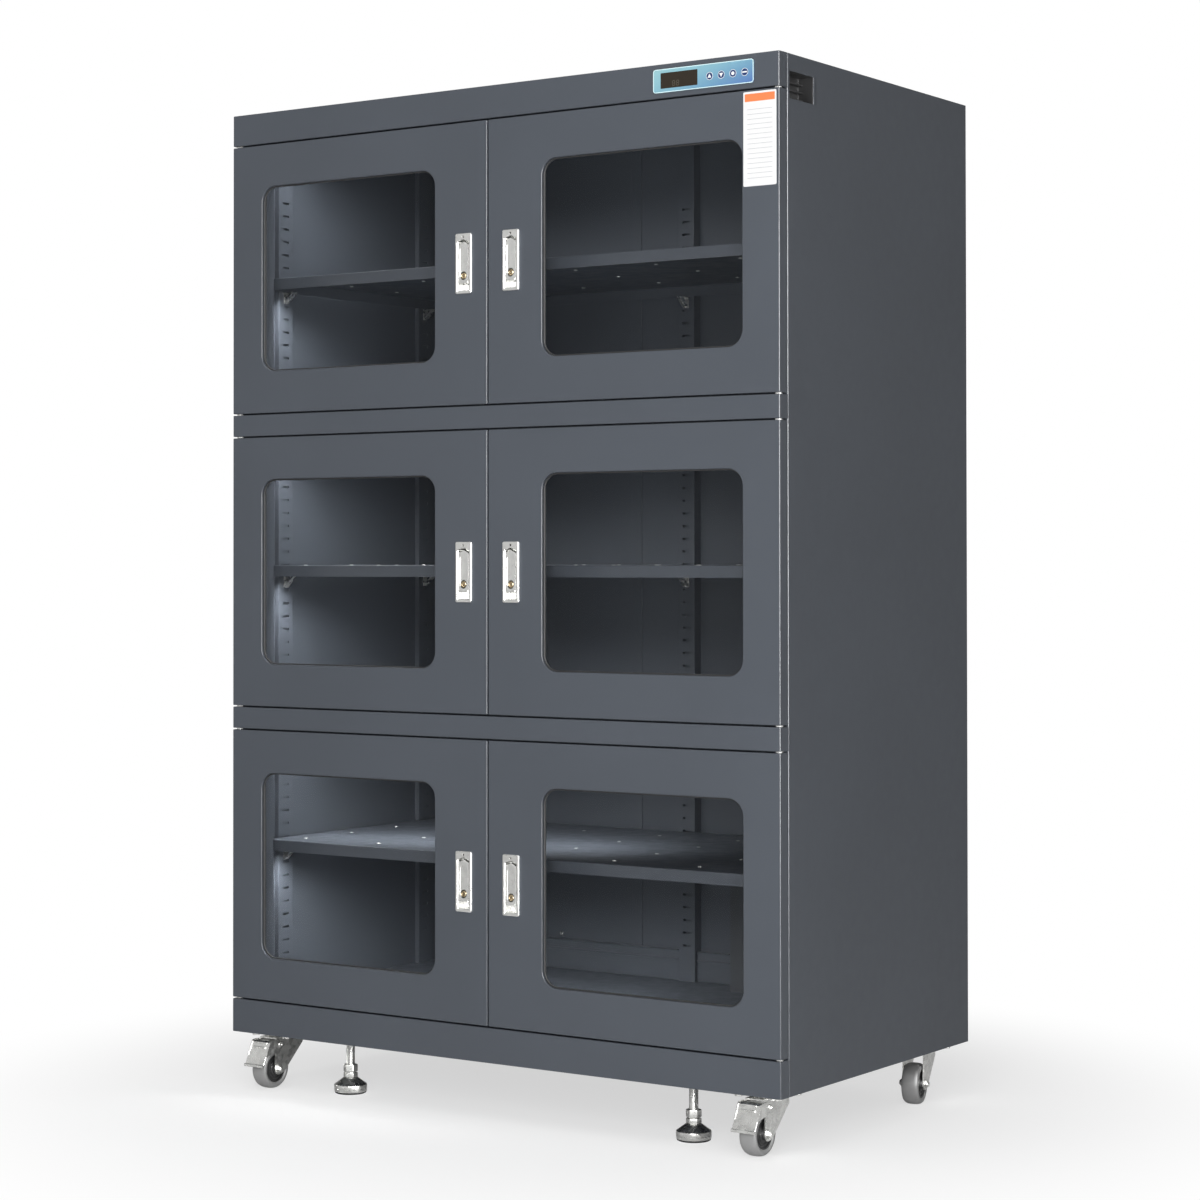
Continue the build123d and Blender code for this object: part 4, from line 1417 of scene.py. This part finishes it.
# ---- Casters ------------------------------------------------------------------------------------
@dataclass
class Caster:
    """Swivel caster, drawn about the swivel axis with heights above the floor."""

    name: str
    x: float
    y: float
    turn: float = 0.0
    braked: bool = False
    trail: float = 35.0
    axle_z: float = 37.5
    plate_size: Flat = (100.0, 84.0)
    plate_z: Flat = (102.0, 105.0)
    bolt: Flat = (39.0, 31.0)
    cheek: Flat = (18.0, 20.5)
    fork_top: float = 95.5
    fork_corner: float = 10.6
    tyre_room: float = 41.5
    pedal_pin: Flat = (-33.0, 83.0)
    pedal_half: float = 22.4
    ear: Flat = (20.8, 23.0)

    @property
    def axle(self) -> Point:
        """Middle of the wheel."""
        return (0.0, -self.trail, self.axle_z)

    def settle(self, shape: Shape, turning: bool = True) -> Shape:
        """Move a shape to the caster's place, turned with the fork if it swivels.

        Args:
            shape: The shape.
            turning: Whether it swivels.

        Returns:
            The shape.
        """
        if turning and self.turn:
            shape.turned(self.turn, "Z")
        return shape.moved((self.x, self.y, 0))

    def top_plate(self) -> Shape:
        """Mounting plate with its bolts and the upper race.

        Returns:
            The plate.
        """
        low, high = self.plate_z
        plate = Shape.plate((0, 0), self.plate_size, low, high, Axis.Z, 6, 4).round(0.6, 2)
        for x in (-self.bolt[0], self.bolt[0]):
            for y in (-self.bolt[1], self.bolt[1]):
                plate.add(Shape.rod((x, y, low - 1.4), (x, y, low), 8.6, edge=0.3))
                plate.add(Shape.rod((x, y, low - 6.6), (x, y, low - 1.4), 7.2, sides=6, edge=0.7))
        plate.add(Shape.lathe(((0, 102), (31, 102), (31, 100.4), (28.5, 99.4), (28.5, 98.2),
                               (30.5, 97.2), (30.5, 95.9), (0, 95.9)), (0, 0, 0)))
        return plate.add(Shape.lathe(((0, 96), (6, 96), (6, 92.4), (11.5, 92.4), (11.5, 90),
                                      (8, 88.3), (0, 88.3)), (0, 0, 0), steps=32))

    def fork(self) -> Shape:
        """Pressed fork with a curved back, its cup and the axle bolt.

        Returns:
            The fork.
        """
        inner, outer = self.cheek
        steel, top, corner = outer - inner, self.fork_top, self.fork_corner
        _, y, z = self.axle
        outline = ((-41, top), (35, top), (35, 79.5), (y + 13, z - 11), (y - 11, z - 11))
        fork = Shape.prism(outline, -outer, outer, Axis.X, corner, 8, (3, 4))
        fork.round(5.0, 5, lambda a, b: near(abs(a.x), outer) and near(abs(b.x), outer)
                   and a.x * b.x > 0 and min(a.y, b.y) > y + 6 and min(a.z, b.z) > z - 8
                   and not lies(a, b, z=top))
        hollow = tuple((across - steel, up - steel) for across, up in outline)
        fork.carve(Shape.prism(hollow, -inner, inner, Axis.X, corner, 8, (3, 4)),
                   Shape.rod((-inner, y, z), (inner, y, z), self.tyre_room, sides=64))
        fork.add(Shape.lathe(((0, 95.5), (29, 95.5), (31.5, 94), (31.5, 92.5), (29.5, 91.4),
                              (0, 91.4)), (0, 0, 0)))
        for way in (-1, 1):
            start = way * outer
            fork.add(Shape.rod((start, y, z), (start + way * 1.2, y, z), 9.0, edge=0.3))
            fork.add(Shape.rod((start + way * 1.2, y, z), (start + way * 4.6, y, z), 7.4, sides=6,
                               edge=0.6))
            fork.add(Shape.lathe(((5.4, 0), (5.0, 1.6), (3.4, 3.0), (0, 3.6)),
                                 (start + way * 4.4, y, z), (way, 0, 0), 24))
        return fork.add(Shape.rod((-inner, y, z), (inner, y, z), 4.0))

    def ring(self, half: Sequence[Flat], steps: int) -> Shape:
        """Ring about the axle, the same on both sides.

        Args:
            half: Pairs of a radius and a place along the axle, for one side.
            steps: Facets round the axle.

        Returns:
            The ring.
        """
        profile = (*half, *((radius, -height) for radius, height in reversed(half)))
        return Shape.lathe(profile, self.axle, (1, 0, 0), steps, True)

    def tread(self) -> Shape:
        """Crowned tread.

        Returns:
            The tread.
        """
        return self.ring(((25.5, -13.4), (28.0, -15.6), (31.0, -16.0), (33.6, -15.2), (35.8, -12.6),
                          (37.0, -8.6), (37.5, -3.6)), 72)

    def hub(self) -> Shape:
        """Ribbed hub ring.

        Returns:
            The hub.
        """
        return self.ring(((4.1, -17.4), (9.5, -17.4), (10.5, -14.0), (13.5, -13.2), (14.2, -11.4),
                          (16.6, -11.4), (17.2, -12.8), (19.4, -12.8), (20.0, -11.4), (22.6, -11.4),
                          (23.2, -13.6), (25.7, -14.2)), 64)

    def pedal(self) -> tuple[Shape, Shape]:
        """Brake pedal: the pressed plate, and its ears, ribs, lip and pin.

        Returns:
            The plate and the rest.
        """
        plate = Shape()
        bm = plate.bm
        line = ((-49, 92.2), (-60, 91.2), (-75.5, 60.5), (-82, 48.6))
        verts = [bm.verts.new((-self.pedal_half, y, z)) for y, z in line]
        edges = [bm.edges.new(pair) for pair in zip(verts, verts[1:])]
        made = bmesh.ops.extrude_edge_only(bm, edges=edges)["geom"]
        bmesh.ops.translate(bm, vec=(2 * self.pedal_half, 0, 0),
                            verts=[part for part in made if isinstance(part, BMVert)])
        bends = [edge for edge in bm.edges if len(edge.link_faces) == 2]
        bmesh.ops.bevel(bm, geom=bends, offset=3.4, segments=4, profile=0.5, affect="EDGES",
                        material=-1, clamp_overlap=True)
        plate.thicken(2.2, (0, -1, 0.3))
        rest = Shape.rod((-22.6, -82, 48), (22.6, -82, 48), 3.0, edge=0.6)
        for y, z in ((-61.8, 88.4), (-66.0, 80.2)):
            rest.add(Shape.rod((-14, y, z), (14, y, z), 1.7, sides=16, edge=0.7))
        ear = ((-50, 93), (-61, 92), (-75, 64), (-63, 66.5), (-44, 70), (-28, 75), (-25.6, 84),
               (-31, 91))
        y, z = self.pedal_pin
        inner, outer = self.ear
        for way in (-1, 1):
            start, end = sorted((way * inner, way * outer))
            rest.add(Shape.prism(ear, start, end, Axis.X, 2.5, 3).round(0.4, 2))
            rest.add(Shape.lathe(((2.6, 0), (5.2, 0), (5.6, 0.6), (4.6, 1.6), (3.2, 1.8), (2.6, 1.2)),
                                 (way * outer, y, z), (way, 0, 0), 32, True))
        rest.add(Shape.rod((0.2 - outer, y, z), (outer - 0.2, y, z), 2.8))
        return plate, rest

    def build(self, plates: Shape) -> None:
        """Make the caster's pieces.

        Args:
            plates: The top plates, to which this caster's is added.
        """
        plates.add(self.settle(self.top_plate(), False))
        place(self.settle(self.fork()), f"{self.name}_fork_press", f"{self.name}_fork", ZINC,
              (f"{self.name}_caster_fork",), edge=0.35)
        place(self.settle(self.tread()), f"{self.name}_tread", f"{self.name}_wheel", TREAD,
              (f"{self.name}_caster_wheel",))
        place(self.settle(self.hub()), f"{self.name}_hub", f"{self.name}_wheel", BLACK)
        if self.braked:
            plate, rest = self.pedal()
            body = f"{self.name}_pedal"
            place(self.settle(plate), f"{self.name}_pedal_plate", body, ZINC,
                  (f"{self.name}_brake_pedal",), edge=0.4)
            place(self.settle(rest), f"{self.name}_pedal_ears", body, ZINC)


# ---- Levelling feet -----------------------------------------------------------------------------
@dataclass
class Foot:
    """Levelling foot with its pad, nuts and stem."""

    side: str
    x: float = 379.0
    y: float = -252.0
    nut: float = 13.8
    thread: Flat = (53.0, 142.0)
    pitch: float = 1.75

    def build(self) -> None:
        """Make the foot's pieces."""
        origin = (SIDES[self.side] * self.x, self.y, 0.0)
        body = f"{self.side}_foot"
        sole = Shape.lathe(((0, 0), (27.5, 0), (29.2, 1.0), (29.8, 3.4), (0, 3.4)),
                           origin, steps=64)
        place(sole, f"{self.side}_foot_sole", body, RUBBER)
        cup = Shape.lathe(((0, 3.2), (29.6, 3.2), (30.4, 4.6), (30.5, 8.6), (30.1, 9.2), (30.5, 9.8),
                           (30.5, 15.6), (29.8, 16.8), (27.4, 18.2), (15.0, 27.4), (12.6, 28.8),
                           (0, 28.8)), origin, steps=64)
        nuts = Shape()
        for low, high, radius, sides, edge in ((29.0, 38.0, self.nut, 6, 1.4),
                                               (37.6, 40.0, 10.0, 32, 0.4),
                                               (39.5, 53.0, self.nut, 6, 1.4)):
            nuts.add(Shape.rod((*origin[:2], low), (*origin[:2], high), radius, sides, edge))
        thread = [(0.0, 28.0), (7.6, 28.0)]
        height, end = self.thread
        while height < end:
            thread += [(7.7, height), (8.0, height + 0.5), (8.0, height + 0.9)]
            height += self.pitch
        thread += [(7.2, end + 2), (0.0, end + 2)]
        place(cup, f"{self.side}_foot_cup", body, ZINC, (f"{self.side}_levelling_foot",))
        place(nuts, f"{self.side}_foot_nuts", body, ZINC)
        place(Shape.lathe(thread, origin, steps=32), f"{self.side}_foot_stem", body, ZINC)


# ---- Studio -------------------------------------------------------------------------------------
@dataclass
class Studio:
    """Floor, lights, white surroundings and camera."""

    eye: Point = (2.9293, -4.3081, 0.9915)
    yaw: float = 34.688
    pitch: float = 0.767
    roll: float = -0.045
    lens: float = 83.39
    shift: Flat = (0.0248, -0.0623)
    sensor: float = 36.0
    ambient: float = 0.3
    floor_radius: float = 9.0
    fade: Flat = (0.6, 1.4)
    near_floor: float = 0.62
    middle: Point = (0.0, 0.0, 0.9)
    inner_spot: Flat = (-0.24, -0.16)
    inner_aim: Flat = (-0.28, 0.0)
    inner_drop: float = 0.42
    inner_size: Flat = (0.7, 0.04)
    inner_power: float = 3.0
    inner_spread: float = 115.0

    def sight_factor(self, tree: bpy.types.NodeTree) -> bpy.types.NodeSocket:
        """Factor that is 1 for rays from the camera, also through glass, and 0 for the rest.

        Args:
            tree: The tree that the nodes go in.

        Returns:
            The output with the factor.
        """
        path = tree.nodes.new("ShaderNodeLightPath")
        join = tree.nodes.new("ShaderNodeMath")
        join.operation = "MAXIMUM"
        for socket, name in zip(join.inputs, ("Is Camera Ray", "Is Transmission Ray")):
            tree.links.new(path.outputs[name], socket)
        return join.outputs[0]

    def floor(self) -> None:
        """Pale floor that fades out to the white surroundings."""
        bm = bmesh.new()
        bmesh.ops.create_circle(bm, cap_ends=True, segments=96, radius=self.floor_radius)
        mesh = bpy.data.meshes.new("floor")
        bm.to_mesh(mesh)
        bm.free()
        plane = bpy.data.objects.new("floor", mesh)
        bpy.context.scene.collection.objects.link(plane)
        recipe = Recipe("floor_paper")
        tree = recipe.tree
        recipe.shader.inputs["Roughness"].default_value = 0.9
        recipe.shader.inputs["Specular IOR Level"].default_value = 0.0
        recipe.shader.inputs["Base Color"].default_value = (0.9, 0.9, 0.9, 1)
        distance = recipe.add("ShaderNodeVectorMath")
        distance.operation = "LENGTH"
        recipe.link(recipe.where, distance.inputs[0])
        fade = recipe.add("ShaderNodeMapRange", From_Min=self.fade[0], From_Max=self.fade[1],
                          To_Min=self.near_floor, To_Max=1.0)
        fade.interpolation_type = "SMOOTHSTEP"
        recipe.link(distance.outputs["Value"], fade.inputs["Value"])
        seen = recipe.add("ShaderNodeMath")
        seen.operation = "MULTIPLY"
        recipe.link(self.sight_factor(tree), seen.inputs[0])
        recipe.link(fade.outputs["Result"], seen.inputs[1])
        white = recipe.add("ShaderNodeEmission", Color=(1, 1, 1, 1), Strength=1.0)
        mix = recipe.add("ShaderNodeMixShader")
        recipe.link(seen.outputs[0], mix.inputs["Fac"])
        recipe.link(recipe.shader.outputs["BSDF"], mix.inputs[1])
        recipe.link(white.outputs["Emission"], mix.inputs[2])
        recipe.link(mix.outputs["Shader"], tree.nodes["Material Output"].inputs["Surface"])
        mesh.materials.append(recipe.material)

    def surroundings(self) -> None:
        """White to the eye, and a plain pale light for the rest."""
        world = bpy.data.worlds.new("surroundings")
        world.use_nodes = True
        bpy.context.scene.world = world
        tree = world.node_tree
        shade = tree.nodes["Background"]
        shade.inputs["Color"].default_value = (1, 1, 1, 1)
        shade.inputs["Strength"].default_value = self.ambient
        bright = tree.nodes.new("ShaderNodeBackground")
        bright.inputs["Color"].default_value = (1, 1, 1, 1)
        bright.inputs["Strength"].default_value = 1.0
        mix = tree.nodes.new("ShaderNodeMixShader")
        tree.links.new(self.sight_factor(tree), mix.inputs["Fac"])
        tree.links.new(shade.outputs["Background"], mix.inputs[1])
        tree.links.new(bright.outputs["Background"], mix.inputs[2])
        tree.links.new(mix.outputs["Shader"], tree.nodes["World Output"].inputs["Surface"])

    def lamp(self, name: str, spot: Point, aim: Point, size: Flat, power: float,
             gleam: bool = False, spread: float = 180.0) -> None:
        """Soft box.

        Args:
            name: Its name.
            spot: Where it hangs, in metres.
            aim: The point that it faces.
            size: Its width and height.
            power: Its power in watts.
            gleam: Whether it shows only as a gleam on glossy surfaces.
            spread: How widely it shines, in degrees.
        """
        light = bpy.data.lights.new(name, "AREA")
        light.shape = "RECTANGLE"
        light.size, light.size_y = size
        light.energy = power
        light.spread = math.radians(spread)
        lamp = bpy.data.objects.new(name, light)
        lamp.location = spot
        lamp.rotation_euler = (Vector(aim) - Vector(spot)).to_track_quat("-Z", "Y").to_euler()
        lamp.visible_diffuse = not gleam
        lamp.visible_camera = False
        bpy.context.scene.collection.objects.link(lamp)

    def inner_lamps(self) -> None:
        """Faint light that falls from the front of each compartment to its back."""
        tops = [*PLAN.shelf_levels(), PLAN.top - 4.0]
        for index, level in enumerate(tops):
            height = (level - 14.0) * MM
            self.lamp(f"compartment_light_{index}", (*self.inner_spot, height),
                      (*self.inner_aim, height - self.inner_drop), self.inner_size,
                      self.inner_power, spread=self.inner_spread)

    def camera(self) -> None:
        """Camera at the front right, a little above half the cabinet's height."""
        data = bpy.data.cameras.new("camera")
        data.lens = self.lens
        data.sensor_width = self.sensor
        data.shift_x, data.shift_y = self.shift
        camera = bpy.data.objects.new("camera", data)
        turn = (Matrix.Rotation(math.radians(self.yaw), 4, "Z")
                @ Matrix.Rotation(math.radians(90.0 + self.pitch), 4, "X")
                @ Matrix.Rotation(math.radians(self.roll), 4, "Z"))
        camera.matrix_world = Matrix.Translation(self.eye) @ turn
        bpy.context.scene.collection.objects.link(camera)
        bpy.context.scene.camera = camera

    def build(self) -> None:
        """Set the scene."""
        bpy.context.scene.view_settings.view_transform = "Standard"
        self.camera()
        self.floor()
        self.surroundings()
        self.lamp("key", (1.9, -3.1, 1.25), self.middle, (1.9, 1.9), 92.0)
        self.lamp("sky", (0.0, -1.8, 4.6), self.middle, (3.2, 3.2), 55.0)
        self.lamp("front_gleam", (-3.2, -4.6, 1.6), self.middle, (5.0, 5.0), 34.0, True)
        self.lamp("edge_gleam", (3.6, -1.3, 1.3), (0.6, -0.33, 1.0), (1.0, 4.0), 800.0, True)
        self.inner_lamps()


def main() -> None:
    """Build the scene, one sub-assembly after another."""
    logging.basicConfig(level=logging.INFO)
    Studio().build()
    Carcass().build()
    for row in PLAN.rows:
        for side in SIDES:
            Door(row, side).build()
    Interior().build()
    ControlPanel().build()
    plates = Shape()
    for end, y in CASTER_ENDS.items():
        for side, sign in SIDES.items():
            name = f"{end}_{side}"
            Caster(name, sign * CASTER_X, y, CASTER_TURNS.get(name, 0.0), end == "front").build(plates)
    place(plates, "caster_top_plates", "cabinet", ZINC, ("caster_plates",))
    for side in SIDES:
        Foot(side).build()


if __name__ == "__main__":
    main()
